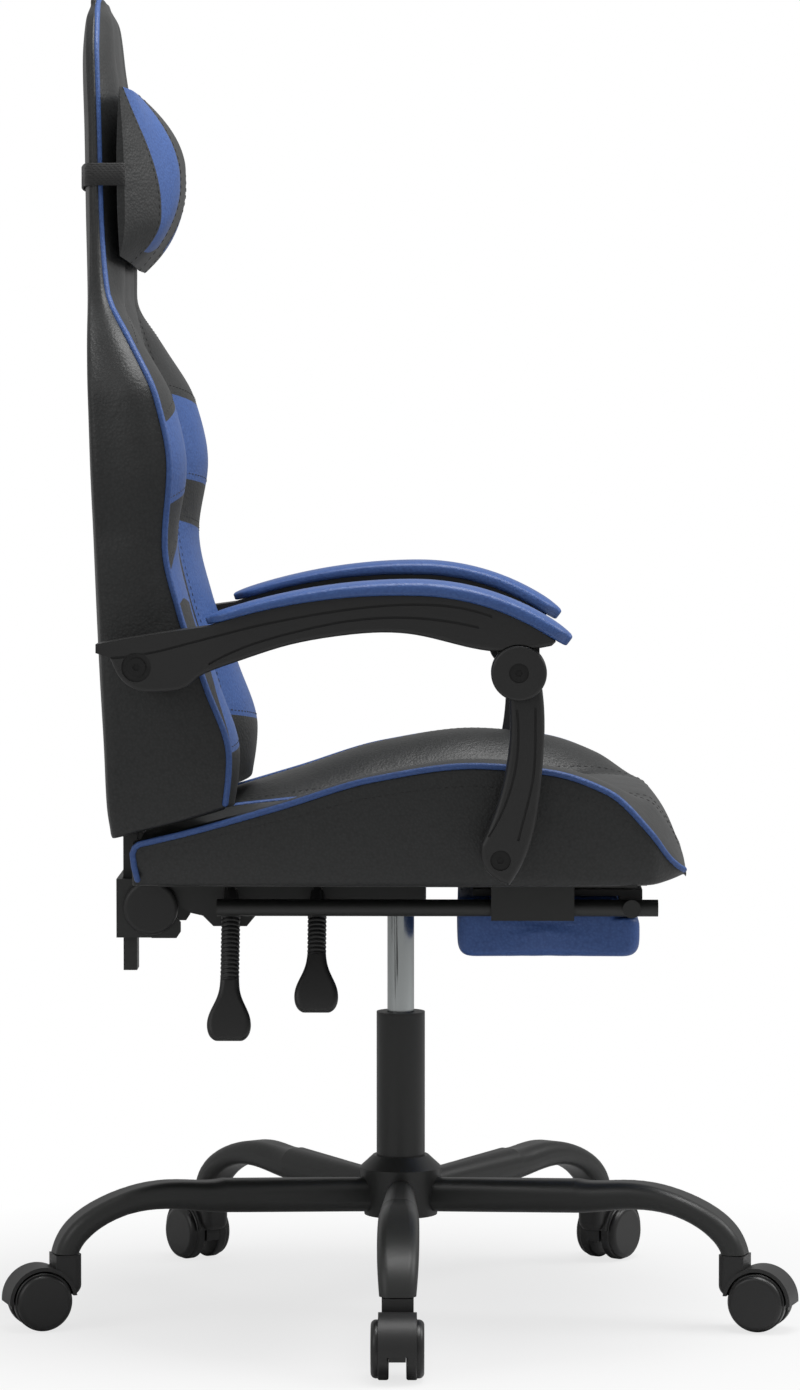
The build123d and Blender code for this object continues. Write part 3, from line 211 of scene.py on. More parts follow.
def pu_leather(name, colour, shade, rough):
    """Embossed PU leather: a satin film with a pebble grain, a little lighter on its high spots."""
    finish, tree, shader, place = new_finish(name)
    # Real grain is about a millimetre; it is drawn coarser so that it shows in the render.
    grain = add_node(tree, "ShaderNodeTexVoronoi",
                     {"feature": "SMOOTH_F1", "Scale": 1 / GRAIN, "Smoothness": 0.4}, {"Vector": place})
    pull = add_node(tree, "ShaderNodeTexNoise", {"Scale": 1 / 0.035, "Detail": 3.0, "Roughness": 0.55},
                    {"Vector": place})
    height = add_node(tree, "ShaderNodeMath", {"operation": "MULTIPLY_ADD", 1: 5.0},
                      {0: pull.outputs["Fac"], 2: grain.outputs["Distance"]})
    bump = add_node(tree, "ShaderNodeBump", {"Strength": 0.32, "Distance": 0.0007},
                    {"Height": height.outputs[0]})
    tone = add_node(tree, "ShaderNodeMix", {"data_type": "RGBA", 6: linear(colour), 7: linear(shade)},
                    {0: grain.outputs["Distance"]})
    gloss = add_node(tree, "ShaderNodeMapRange", {"To Min": rough - 0.07, "To Max": rough + 0.07},
                     {"Value": pull.outputs["Fac"]})
    tree.links.new(tone.outputs[2], shader.inputs["Base Color"])
    tree.links.new(gloss.outputs[0], shader.inputs["Roughness"])
    tree.links.new(bump.outputs[0], shader.inputs["Normal"])
    shader.inputs["IOR"].default_value = 1.5
    shader.inputs["Specular IOR Level"].default_value = 0.42
    return finish


def powder_coat(name, colour, rough):
    """Powder-coated steel: an even satin black with a fine orange peel."""
    finish, tree, shader, place = new_finish(name)
    peel = add_node(tree, "ShaderNodeTexNoise", {"Scale": 1 / 0.003, "Detail": 2.0}, {"Vector": place})
    dust = add_node(tree, "ShaderNodeTexNoise", {"Scale": 1 / 0.09, "Detail": 4.0}, {"Vector": place})
    bump = add_node(tree, "ShaderNodeBump", {"Strength": 0.10, "Distance": 0.0004},
                    {"Height": peel.outputs["Fac"]})
    gloss = add_node(tree, "ShaderNodeMapRange", {"To Min": rough - 0.06, "To Max": rough + 0.08},
                     {"Value": dust.outputs["Fac"]})
    tree.links.new(gloss.outputs[0], shader.inputs["Roughness"])
    tree.links.new(bump.outputs[0], shader.inputs["Normal"])
    shader.inputs["Base Color"].default_value = linear(colour)
    return finish


def moulded_plastic(name, colour, rough, texture=0.0012):
    """Injection-moulded polypropylene: dull black with a spark-eroded mould texture."""
    finish, tree, shader, place = new_finish(name)
    spark = add_node(tree, "ShaderNodeTexNoise", {"Scale": 1 / texture, "Detail": 3.0, "Roughness": 0.7},
                     {"Vector": place})
    flow = add_node(tree, "ShaderNodeTexNoise", {"Scale": 1 / 0.06, "Detail": 3.0}, {"Vector": place})
    bump = add_node(tree, "ShaderNodeBump", {"Strength": 0.14, "Distance": 0.0003},
                    {"Height": spark.outputs["Fac"]})
    gloss = add_node(tree, "ShaderNodeMapRange", {"To Min": rough - 0.06, "To Max": rough + 0.06},
                     {"Value": flow.outputs["Fac"]})
    tree.links.new(gloss.outputs[0], shader.inputs["Roughness"])
    tree.links.new(bump.outputs[0], shader.inputs["Normal"])
    shader.inputs["Base Color"].default_value = linear(colour)
    shader.inputs["IOR"].default_value = 1.49
    return finish


def chromed_steel(name):
    """Hard-chromed rod: a bright ground surface with faint rings from grinding."""
    finish, tree, shader, place = new_finish(name)
    rings = add_node(tree, "ShaderNodeTexWave",
                     {"bands_direction": "Z", "Scale": 1 / 0.004, "Distortion": 1.5}, {"Vector": place})
    gloss = add_node(tree, "ShaderNodeMapRange", {"To Min": 0.12, "To Max": 0.22},
                     {"Value": rings.outputs["Fac"]})
    tree.links.new(gloss.outputs[0], shader.inputs["Roughness"])
    shader.inputs["Base Color"].default_value = linear("#B4B8B8")
    shader.inputs["Metallic"].default_value = 1.0
    return finish


def black_oxide(name):
    """Blackened steel fasteners: dark metal with a waxy, uneven gloss."""
    finish, tree, shader, place = new_finish(name)
    patches = add_node(tree, "ShaderNodeTexNoise", {"Scale": 1 / 0.006, "Detail": 4.0}, {"Vector": place})
    gloss = add_node(tree, "ShaderNodeMapRange", {"To Min": 0.3, "To Max": 0.5},
                     {"Value": patches.outputs["Fac"]})
    tree.links.new(gloss.outputs[0], shader.inputs["Roughness"])
    shader.inputs["Base Color"].default_value = linear("#2E2E2E")
    shader.inputs["Metallic"].default_value = 0.8
    return finish


def nylon_webbing(name):
    """Woven nylon strap: dull black with ribs across it."""
    finish, tree, shader, place = new_finish(name)
    # Threads are 0.6 mm apart; they are drawn at 1.6 mm so that they show.
    weft = add_node(tree, "ShaderNodeTexWave", {"bands_direction": "Z", "Scale": 1 / (0.0016 * 3.2)},
                    {"Vector": place})
    warp = add_node(tree, "ShaderNodeTexWave", {"bands_direction": "DIAGONAL", "Scale": 1 / (0.0022 * 3.2)},
                    {"Vector": place})
    weave = add_node(tree, "ShaderNodeMath", {"operation": "MAXIMUM"},
                     {0: weft.outputs["Fac"], 1: warp.outputs["Fac"]})
    bump = add_node(tree, "ShaderNodeBump", {"Strength": 0.5, "Distance": 0.0005},
                    {"Height": weave.outputs[0]})
    tone = add_node(tree, "ShaderNodeMix", {"data_type": "RGBA", 6: linear("#151515"), 7: linear("#2B2B2B")},
                    {0: weave.outputs[0]})
    tree.links.new(tone.outputs[2], shader.inputs["Base Color"])
    tree.links.new(bump.outputs[0], shader.inputs["Normal"])
    shader.inputs["Roughness"].default_value = 0.8
    shader.inputs["Sheen Weight"].default_value = 0.15
    return finish


def sewing_thread(name, colour):
    """Polyester thread: a soft shine with a twist too fine to see."""
    finish, tree, shader, place = new_finish(name)
    twist = add_node(tree, "ShaderNodeTexNoise", {"Scale": 1 / 0.0008, "Detail": 2.0}, {"Vector": place})
    bump = add_node(tree, "ShaderNodeBump", {"Strength": 0.4, "Distance": 0.0002},
                    {"Height": twist.outputs["Fac"]})
    tree.links.new(bump.outputs[0], shader.inputs["Normal"])
    shader.inputs["Base Color"].default_value = linear(colour)
    shader.inputs["Roughness"].default_value = 0.6
    return finish


black_leather = pu_leather("black_pu_leather", "#2A2B2B", "#1D1E1E", 0.46)
blue_leather = pu_leather("blue_pu_leather", "#40609D", "#324E86", 0.46)
blue_piping = pu_leather("blue_pu_piping", "#3E5C96", "#314B80", 0.5)
blue_foam = pu_leather("blue_pu_foam", "#405F98", "#344F88", 0.42)
coated_steel = powder_coat("black_powder_coat", "#1E1F1E", 0.42)
black_moulding = moulded_plastic("black_polypropylene", "#1C1C1C", 0.46)
wheel_nylon = moulded_plastic("black_nylon", "#181818", 0.36, 0.0018)
chrome = chromed_steel("hard_chrome")
fastener = black_oxide("black_oxide_steel")
webbing = nylon_webbing("nylon_webbing")
black_thread = sewing_thread("black_thread", "#232323")

SLOT_FINISH = {
    "black_upholstery": black_leather,
    "blue_upholstery": blue_leather,
    "blue_pad": blue_foam,
    "webbing": webbing,
    "black_metal": coated_steel,
    "black_steel": fastener,
    "chrome_rod": chrome,
    "black_plastic": black_moulding,
    "wheel_nylon": wheel_nylon,
}
for subpart in frame["record"]["subparts"]:
    node = frame["nodes"][subpart["node"]]
    for material_slot in node.material_slots:
        material_slot.material = SLOT_FINISH[subpart["material_slot"]]


def between(stations, places):
    """Smooth values between stations, without overshoot: a row for each place, a column for each measure."""
    table = np.array(stations)
    knots, values = table[:, 0], table[:, 1:]
    span = np.diff(knots)[:, None]
    rise = np.diff(values, axis=0) / span
    slope = np.empty_like(values)
    slope[0], slope[-1] = rise[0], rise[-1]
    steady = rise[:-1] * rise[1:] > 0
    total = np.where(steady, rise[:-1] + rise[1:], 1.0)
    slope[1:-1] = np.where(steady, 2 * rise[:-1] * rise[1:] / total, 0.0)
    cell = np.clip(np.searchsorted(knots, places) - 1, 0, len(knots) - 2)
    t = ((np.clip(places, knots[0], knots[-1]) - knots[cell]) / span[cell, 0])[:, None]
    start, end = values[cell], values[cell + 1]
    leave, arrive = slope[cell] * span[cell], slope[cell + 1] * span[cell]
    return ((2 * t**3 - 3 * t**2 + 1) * start + (t**3 - 2 * t**2 + t) * leave
            + (3 * t**2 - 2 * t**3) * end + (t**3 - t**2) * arrive)


def arc(first, middle, last, t):
    """Points at shares t along the circle arcs from first through middle to last, as complex numbers."""
    ratio = (last - first) / (middle - first)
    lean = np.where(np.abs(ratio.imag) < 1e-3, 1e-3, ratio.imag)
    centre = first + (middle - first) * (ratio - np.abs(ratio) ** 2) / (2j * lean)
    turn = np.angle((middle - centre) / (first - centre)) + np.angle((last - centre) / (middle - centre))
    return centre + (first - centre) * np.exp(1j * turn * t)


def round_ends(rings, rounding, turns=4):
    """Adds rows that round both ends of a stack of rings over and close them to small caps."""
    def closing(ring, outward):
        middle = ring.mean(axis=0)
        inward = middle - ring
        reach = np.linalg.norm(inward, axis=1, keepdims=True)
        rows = []
        for step in range(1, turns + 1):
            angle = math.pi / 2 * step / turns
            draw = np.minimum(rounding * (1 - math.cos(angle)), 0.8 * reach)
            rows.append(ring + inward / reach * draw + outward * rounding * math.sin(angle))
        last = rows[-1]
        middle = last.mean(axis=0)
        rows += [middle + (last - middle) * share for share in (0.75, 0.45, 0.15)]
        return np.array(rows)

    first = rings[0] - rings[1]
    last = rings[-1] - rings[-2]
    start = closing(rings[0], first.mean(axis=0) / np.linalg.norm(first.mean(axis=0)))
    end = closing(rings[-1], last.mean(axis=0) / np.linalg.norm(last.mean(axis=0)))
    return np.concatenate([start[::-1], rings, end]), len(start)


def shell(name, rings, finish_of_face, finishes):
    """Closed mesh through rings of points, with a finish number for each face between rows and columns."""
    rows, columns = rings.shape[:2]
    faces, numbers = [], []
    for row in range(rows - 1):
        for column in range(columns):
            beside = (column + 1) % columns
            faces.append((row * columns + column, row * columns + beside,
                          (row + 1) * columns + beside, (row + 1) * columns + column))
            numbers.append(int(finish_of_face[row, column]))
    faces.append(tuple(range(columns))[::-1])
    faces.append(tuple(range((rows - 1) * columns, rows * columns)))
    numbers += [0, 0]
    mesh = bpy.data.meshes.new(name)
    mesh.from_pydata(rings.reshape(-1, 3).tolist(), [], faces)
    for finish in finishes:
        mesh.materials.append(finish)
    mesh.polygons.foreach_set("material_index", numbers)
    mesh.polygons.foreach_set("use_smooth", [True] * len(faces))
    volume = sum(Vector(mesh.vertices[f[0]].co).dot(p.normal) * p.area for f, p in zip(faces, mesh.polygons))
    if volume < 0:
        mesh.flip_normals()
    piece = bpy.data.objects.new(name, mesh)
    scene.collection.objects.link(piece)
    return piece


def swell(piece, held, pressure, most, frames=18):
    """Inflates a cover with cloth between the points that hold it, and caps how far a point may move."""
    rest = np.array([v.co for v in piece.data.vertices])
    pins = piece.vertex_groups.new(name="sewn")
    for weight in np.unique(held[held > 0]):
        pins.add(np.flatnonzero(held == weight).tolist(), float(weight), "REPLACE")
    cloth = piece.modifiers.new("Cloth", "CLOTH")
    settings = cloth.settings
    settings.quality = 5
    settings.mass = 0.4
    settings.tension_stiffness = 25
    settings.compression_stiffness = 25
    settings.shear_stiffness = 12
    settings.bending_stiffness = 4
    settings.use_pressure = True
    settings.uniform_pressure_force = pressure
    settings.vertex_group_mass = "sewn"
    settings.effector_weights.gravity = 0
    cloth.collision_settings.use_collision = False
    cloth.point_cache.frame_start = 1
    cloth.point_cache.frame_end = frames
    for step in range(1, frames + 1):
        scene.frame_set(step)
    shaped = piece.evaluated_get(bpy.context.evaluated_depsgraph_get()).to_mesh()
    moved = np.array([v.co for v in shaped.vertices]) - rest
    piece.evaluated_get(bpy.context.evaluated_depsgraph_get()).to_mesh_clear()
    piece.modifiers.remove(cloth)
    piece.vertex_groups.remove(pins)
    scene.frame_set(1)
    length = np.linalg.norm(moved, axis=1, keepdims=True)
    moved *= np.minimum(1.0, most / np.maximum(length, 1e-9))
    shape = rest + moved
    piece.data.vertices.foreach_set("co", shape.ravel())
    piece.data.update()
    return shape


def smooth_once(piece):
    """One level of subdivision, applied."""
    divide = piece.modifiers.new("Subdivision", "SUBSURF")
    divide.levels = divide.render_levels = 1
    shaped = bpy.data.meshes.new_from_object(piece.evaluated_get(bpy.context.evaluated_depsgraph_get()))
    piece.modifiers.clear()
    piece.data = shaped


def tube(name, path, radius, finish, closed=False, sides=10):
    """Round tube along points, with rounded ends: welt piping and cords."""
    points = np.array(path)
    ahead = np.roll(points, -1, axis=0) - np.roll(points, 1, axis=0)
    if not closed:
        ahead[0], ahead[-1] = points[1] - points[0], points[-1] - points[-2]
    ahead /= np.linalg.norm(ahead, axis=1, keepdims=True)
    side = np.cross(ahead[0], (0.31, 0.17, 0.93))
    rings = []
    for point, along in zip(points, ahead):
        side = side - along * np.dot(side, along)
        side /= np.linalg.norm(side)
        up = np.cross(along, side)
        angles = np.linspace(0, 2 * math.pi, sides, endpoint=False)
        rings.append(point + radius * (np.outer(np.cos(angles), side) + np.outer(np.sin(angles), up)))
    rings = np.array(rings)
    if closed:
        rings = np.concatenate([rings, rings[:1]])
    else:
        rings, _ = round_ends(rings, radius * 0.9, 3)
    return shell(name, rings, np.zeros(rings.shape[:2], int), [finish])


def resample(path, pitch):
    """Points at even spacing along a line."""
    points = np.array(path)
    reach = np.concatenate([[0], np.cumsum(np.linalg.norm(np.diff(points, axis=0), axis=1))])
    count = max(3, int(round(reach[-1] / pitch)))
    at = np.linspace(0, reach[-1], count)
    return np.stack([np.interp(at, reach, points[:, k]) for k in range(3)], axis=1)


def stitch_tree(finish):
    """Geometry Nodes: a short thread lying at even spacing along every line of a mesh."""
    tree = bpy.data.node_groups.new("stitches", "GeometryNodeTree")
    tree.interface.new_socket("Geometry", in_out="INPUT", socket_type="NodeSocketGeometry")
    for name in ("Pitch", "Length", "Radius"):
        tree.interface.new_socket(name, in_out="INPUT", socket_type="NodeSocketFloat")
    tree.interface.new_socket("Geometry", in_out="OUTPUT", socket_type="NodeSocketGeometry")
    given = add_node(tree, "NodeGroupInput")
    line = add_node(tree, "GeometryNodeMeshToCurve", links={0: given.outputs["Geometry"]})
    spaced = add_node(tree, "GeometryNodeResampleCurve", {"mode": "LENGTH"},
                      {"Curve": line.outputs[0], "Length": given.outputs["Pitch"]})
    thread = add_node(tree, "GeometryNodeMeshUVSphere", {"Segments": 6, "Rings": 4, "Radius": 1.0})
    long = add_node(tree, "ShaderNodeMath", {"operation": "MULTIPLY", 1: 0.5}, {0: given.outputs["Length"]})
    size = add_node(tree, "ShaderNodeCombineXYZ", links={
        0: given.outputs["Radius"], 1: given.outputs["Radius"], 2: long.outputs[0]})
    shaped = add_node(tree, "GeometryNodeTransform", links={0: thread.outputs[0], "Scale": size.outputs[0]})
    tangent = add_node(tree, "GeometryNodeInputTangent")
    turn = add_node(tree, "FunctionNodeAlignRotationToVector", {"axis": "Z"}, {"Vector": tangent.outputs[0]})
    laid = add_node(tree, "GeometryNodeInstanceOnPoints", links={
        "Points": spaced.outputs[0], "Instance": shaped.outputs[0], "Rotation": turn.outputs[0]})
    real = add_node(tree, "GeometryNodeRealizeInstances", links={0: laid.outputs[0]})
    dyed = add_node(tree, "GeometryNodeSetMaterial", {"Material": finish}, {0: real.outputs[0]})
    add_node(tree, "NodeGroupOutput", links={0: dyed.outputs[0]})
    return tree


def stitches(name, lines, finish):
    """One mesh of stitches along several lines of points."""
    points, edges = [], []
    for line in lines:
        start = len(points)
        points += [tuple(p) for p in line]
        edges += [(start + n, start + n + 1) for n in range(len(line) - 1)]
    mesh = bpy.data.meshes.new(name)
    mesh.from_pydata(points, edges, [])
    piece = bpy.data.objects.new(name, mesh)
    scene.collection.objects.link(piece)
    sew = piece.modifiers.new("stitches", "NODES")
    sew.node_group = stitch_tree(finish)
    values = {"Pitch": STITCH_PITCH, "Length": STITCH_LENGTH, "Radius": STITCH_RADIUS}
    for socket in sew.node_group.interface.items_tree:
        if socket.name in values:
            sew[socket.identifier] = values[socket.name]
    piece.update_tag()
    sewn = bpy.data.meshes.new_from_object(piece.evaluated_get(bpy.context.evaluated_depsgraph_get()))
    piece.modifiers.clear()
    piece.data = sewn
    return piece


def half_and_mirror(counts):
    """Section places from one middle round a side to the other middle, and the side each column is on."""
    places = [0.0]
    for panel, count in enumerate(counts):
        t = (np.arange(count) + 1) / count
        places += (panel + t).tolist()
    left = np.array(places)
    around = np.concatenate([left, left[-2:0:-1]])
    side = np.concatenate([np.ones(len(left)), -np.ones(len(left) - 2)])
    return around, side


# Backrest cover: rear, side, wing and middle panels, with coloured wing panels sewn between seams
around, side = half_and_mirror((14, 12, 22, 12))
wing_share = np.clip(around - 2, 0, 1)
seam_heights = np.array([np.interp(wing_share, WING_PLACES, seam) for seam in WING_SEAMS])


def back_section(place, height):
    """Points of the backrest's section, for section places and heights of the same shape."""
    half, rear_mid, rear_edge, piping, ridge, middle = between(BACK_STATIONS, height.ravel()).T
    u = place.ravel()
    corner = rear_edge + 1j * (half - 0.003)
    edge = piping + 1j * half
    crest = ridge + 1j * half * RIDGE_SHARE
    foot = (ridge + 3 * middle) / 4 + 1j * half * WING_FOOT_SHARE
    rear = arc(np.conj(corner), rear_mid + 0j, corner, 0.5 + 0.5 * np.clip(u, 0, 1))
    t = np.clip(u - 1, 0, 1)
    bulge = 0.004 * np.sin(math.pi * t) - 0.002 * np.sin(2 * math.pi * t)
    wall = corner + (edge - corner) * t + 1j * bulge
    wing = arc(edge, crest, foot, np.clip(u - 2, 0, 1))
    front = arc(foot, middle + 0j, np.conj(foot), 0.5 * np.clip(u - 3, 0, 1))
    point = np.select([u <= 1, u <= 2, u <= 3], [rear, wall, wing], front)
    return point.reshape(height.shape)


def back_rows():
    """Heights of every row at every column: rows follow the seams, and the lowest the seat's slope."""
    floor = np.full(around.shape, 0.49)
    for _ in range(4):
        x = back_section(around, floor).real
        floor = BACK_GROUND[1] + (x - BACK_GROUND[0]) * BACK_GROUND[2]
    neck = np.full(around.shape, BACK_NECK)
    crown = np.full(around.shape, BACK_TOP)
    borders = np.vstack([floor + 0.008, seam_heights[::-1], neck, crown])
    counts = (14, 24, 5, 9, 13, 8, 10, 46)
    rows = [borders[0]]
    for low, high, count in zip(borders[:-1], borders[1:], counts):
        for step in range(1, count + 1):
            rows.append(low + (high - low) * step / count)
    marks = np.cumsum((0,) + counts)
    return np.array(rows), marks


back_heights, back_marks = back_rows()
hip_reach = np.interp(back_heights, [h for h, _ in HIP_REACH], [r for _, r in HIP_REACH])
hip_column = 2 + 9 / 22
wing_place = np.broadcast_to(around, back_heights.shape).copy()
warped = (wing_place > 2) & (wing_place < 3)
stretch = np.where(
    wing_place <= hip_column,
    2 + (wing_place - 2) / (hip_column - 2) * hip_reach,
    2 + hip_reach + (wing_place - hip_column) / (3 - hip_column) * (1 - hip_reach),
)
wing_place = np.where(warped, stretch, wing_place)
section = back_section(wing_place, back_heights)
back_rings = np.stack([section.real, section.imag * side, back_heights], axis=2)
back_rings, back_cap = round_ends(back_rings, BACK_ROUND)

panel = np.minimum(around, np.roll(around, -1))
back_finish = np.zeros(back_rings.shape[:2], int)
on_wing = (panel >= 2 - 1e-6) & (panel < 3 - 1e-6)
inner_wing = on_wing & (panel >= hip_column - 1e-6)
m = back_marks + back_cap
back_finish[m[1]:m[2]] = np.where(inner_wing, 1, 0)
back_finish[m[2]:m[3]] = np.where(on_wing, 1, 0)
back_finish[m[4]:m[5]] = np.where(on_wing, 1, 0)

back_cover = shell("backrest_cover", back_rings, back_finish, [black_leather, blue_leather])
held = np.zeros(back_rings.shape[:2])
on_seam = np.isclose(around % 1, 0) & (around > 0.5) & (around < 3.5)
held[:, on_seam] = 1.0
held[:, around < 1] = 1.0
held[:back_cap + 2] = held[-back_cap - 2:] = 1.0
for mark in m[1:7]:
    if mark != m[2]:
        held[mark, (around >= 2) & (around <= 3)] = 1.0
hip_line = np.isclose(around, hip_column)
held[m[1]:m[2] + 1, hip_line] = 1.0
back_shape = swell(back_cover, held.ravel(), *BACK_SWELL).reshape(back_rings.shape)
smooth_once(back_cover)
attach(back_cover, "back")
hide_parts("back_cushion")


def column_at(place, hand):
    """The column at a section place, on the left (1) or right (-1) side."""
    return int(np.flatnonzero(np.isclose(around, place) & (side == hand))[0])


left_edge, right_edge = column_at(2.0, 1), column_at(2.0, -1)
rise = back_shape[back_cap:-back_cap, left_edge]
fall = back_shape[back_cap:-back_cap, right_edge][::-1]
bend = np.linspace(0, math.pi, 9)[1:-1]
over = np.stack([
    np.full(bend.shape, rise[-1, 0]),
    rise[-1, 1] * np.cos(bend),
    rise[-1, 2] + BACK_ROUND * np.sin(bend) ** 0.6,
], axis=1)
welt = resample(np.concatenate([rise, over, fall]), WELT_STEP)
back_welt = tube("backrest_piping", welt, PIPING_RADIUS, blue_piping)
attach(back_welt, "back")

thread_lines = []
for hand in (1, -1):
    inner = column_at(3.0, hand)
    for offset in (-1, 1):
        line = back_shape[m[0] + 4:m[6], inner + offset]
        thread_lines.append(resample(line, THREAD_STEP))
    wing_columns = np.flatnonzero((around >= 2) & (around <= 3) & (side == hand))
    for mark in (m[1], m[3], m[4], m[5], m[6]):
        thread_lines.append(resample(back_shape[mark + 1, wing_columns], THREAD_STEP))
back_stitches = stitches("backrest_stitches", thread_lines, black_thread)
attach(back_stitches, "back")

# Seat cover: underside, side, bolster and middle panels
around, side = half_and_mirror((10, 12, 18, 14))


def seat_section(place, reach):
    """Points of the seat's section as width and height, for section places and distances forward."""
    half, piping, crest, dish, base = between(SEAT_STATIONS, reach.ravel()).T
    u = place.ravel()
    low = (half - SEAT_TUCK) + 1j * base
    edge = half + 1j * piping
    top = (half - BOLSTER_CREST) + 1j * crest
    foot = (half - BOLSTER_WIDTH) + 1j * dish
    under = low.real * np.clip(u, 0, 1) + 1j * base
    t = np.clip(u - 1, 0, 1)
    wall = low + (edge - low) * t + 0.004 * np.sin(math.pi * t)
    bolster = arc(edge, top, foot, np.clip(u - 2, 0, 1))
    mirror_foot = -foot.real + 1j * foot.imag
    middle = arc(foot, 1j * (dish + DISH_CROWN), mirror_foot, 0.5 * np.clip(u - 3, 0, 1))
    return np.select([u <= 1, u <= 2, u <= 3], [under, wall, bolster], middle).reshape(reach.shape)


reaches = np.concatenate([np.linspace(-0.242, 0.19, 72), np.linspace(0.194, 0.266, 18)])
seat_reach = np.repeat(reaches[:, None], len(around), axis=1)
section = seat_section(np.broadcast_to(around, seat_reach.shape), seat_reach)
seat_rings = np.stack([seat_reach, section.real * side, section.imag], axis=2)
seat_rings, seat_cap = round_ends(seat_rings, 0.004)
seat_cover = shell("seat_cover", seat_rings, np.zeros(seat_rings.shape[:2], int), [black_leather])
held = np.zeros(seat_rings.shape[:2])
held[:, np.isclose(around % 1, 0) & (around > 0.5) & (around < 3.5)] = 1.0
held[:, around <= 1] = 1.0
held[:seat_cap + 2] = held[-seat_cap - 1:] = 1.0
seat_shape = swell(seat_cover, held.ravel(), *SEAT_SWELL).reshape(seat_rings.shape)
smooth_once(seat_cover)
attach(seat_cover, "seat")
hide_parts("seat_cushion")

for hand, word in ((1, "left"), (-1, "right")):
    edge = seat_shape[seat_cap:-seat_cap, column_at(2.0, hand)]
    corner = edge[0] + np.array([[0.0015, 0, -0.032], [-0.0015, 0, -0.020], [-0.003, 0, -0.008]])
    welt = resample(np.concatenate([corner, edge]), WELT_STEP)
    seat_welt = tube(f"seat_piping_{word}", welt, PIPING_RADIUS, blue_piping)
    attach(seat_welt, "seat")
    inner = seat_shape[seat_cap:-seat_cap, column_at(3.0, hand)]
    inner = inner[inner[:, 0] < INNER_WELT_END]
    fade = np.clip((inner[:, 0] - INNER_WELT_END) / INNER_WELT_FADE + 1, 0, 1)
    inner = inner - INNER_WELT_SINK * np.outer(fade**2, (0, 0, 1))
    inner_welt = tube(f"seat_inner_piping_{word}", resample(inner, WELT_STEP), PIPING_RADIUS, blue_piping)
    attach(inner_welt, "seat")

thread_lines = []
for hand in (1, -1):
    for place, offset in ((3.0, 2), (3.0, -2), (2.0, 2)):
        line = seat_shape[seat_cap + 1:-seat_cap, column_at(place, hand) + offset]
        thread_lines.append(resample(line, THREAD_STEP))
seat_stitches = stitches("seat_stitches", thread_lines, black_thread)
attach(seat_stitches, "seat")


# Head pillow: knife-edged ends, blue bands and a black middle
def pillow_rings():
    """Rows of the pillow from its right end to its left end."""
    reach = PILLOW_STATIONS[-1][0]
    marks = [0.0, PILLOW_BANDS[0], PILLOW_BANDS[1], reach]
    spans = zip(marks, marks[1:], (10, 11, 14))
    half = np.concatenate([np.linspace(a, b, n, endpoint=False) for a, b, n in spans])
    half = np.append(half, reach)
    places = np.concatenate([-half[:0:-1], half])
    t = np.linspace(0, math.pi / 2, PILLOW_FRONT // 2 + 1)
    s = np.linspace(1, 0, 16)[1:-1]
    climb = np.concatenate([-np.cos(t[:-1]), np.sin(t[1:]), 2 * s - 1])
    lean = np.interp(np.abs(places), (*PILLOW_BANDS, reach), (0, 1, 0))
    out = np.abs(places)[:, None] + lean[:, None] * np.where(climb > 0, PILLOW_EAR, PILLOW_HEEL) * climb**2
    back, nose, bottom, full, top = between(PILLOW_STATIONS, out.ravel()).T.reshape(5, *out.shape)
    z = full + np.where(climb > 0, top - full, full - bottom) * climb
    x = back + (nose - back) * (1 - climb**2)
    z[:, PILLOW_FRONT:] = bottom[:, PILLOW_FRONT:] + (top - bottom)[:, PILLOW_FRONT:] * s
    x[:, PILLOW_FRONT:] = back[:, PILLOW_FRONT:] - 0.003 * np.sin(math.pi * s)
    return np.stack([x, np.sign(places)[:, None] * out, z], axis=2), places


pillow_stack, pillow_places = pillow_rings()
mid = (np.abs(pillow_places[:-1]) + np.abs(pillow_places[1:])) / 2
banded = ((mid > PILLOW_BANDS[0]) & (mid < PILLOW_BANDS[1])).astype(int)
pillow_stack, pillow_cap = round_ends(pillow_stack, 0.0015, 2)
pillow_finish = np.zeros(pillow_stack.shape[:2], int)
pillow_finish[pillow_cap:pillow_cap + len(banded), BAND_COLUMNS] = banded[:, None]
pillow = shell("head_pillow_cover", pillow_stack, pillow_finish, [black_leather, blue_leather])
held = np.zeros(pillow_stack.shape[:2])
held[:, PILLOW_FRONT:] = 1.0
held[:pillow_cap + 1] = held[-pillow_cap - 1:] = 1.0
seam_rows = [int(np.argmin(np.abs(pillow_places - y))) + pillow_cap for b in PILLOW_BANDS for y in (b, -b)]
held[seam_rows] = 1.0
pillow_shape = swell(pillow, held.ravel(), *PILLOW_SWELL).reshape(pillow_stack.shape)
smooth_once(pillow)
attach(pillow, "pillow")
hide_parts("head_pillow")
outer = seam_rows[2:]
pillow_stitches = stitches(
    "head_pillow_stitches",
    [resample(pillow_shape[row + (1 if row in outer else -1) * hand, STITCH_COLUMNS], THREAD_STEP)
     for row, hand in zip(seam_rows, (1, -1, 1, -1))],
    black_thread,
)
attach(pillow_stitches, "pillow")


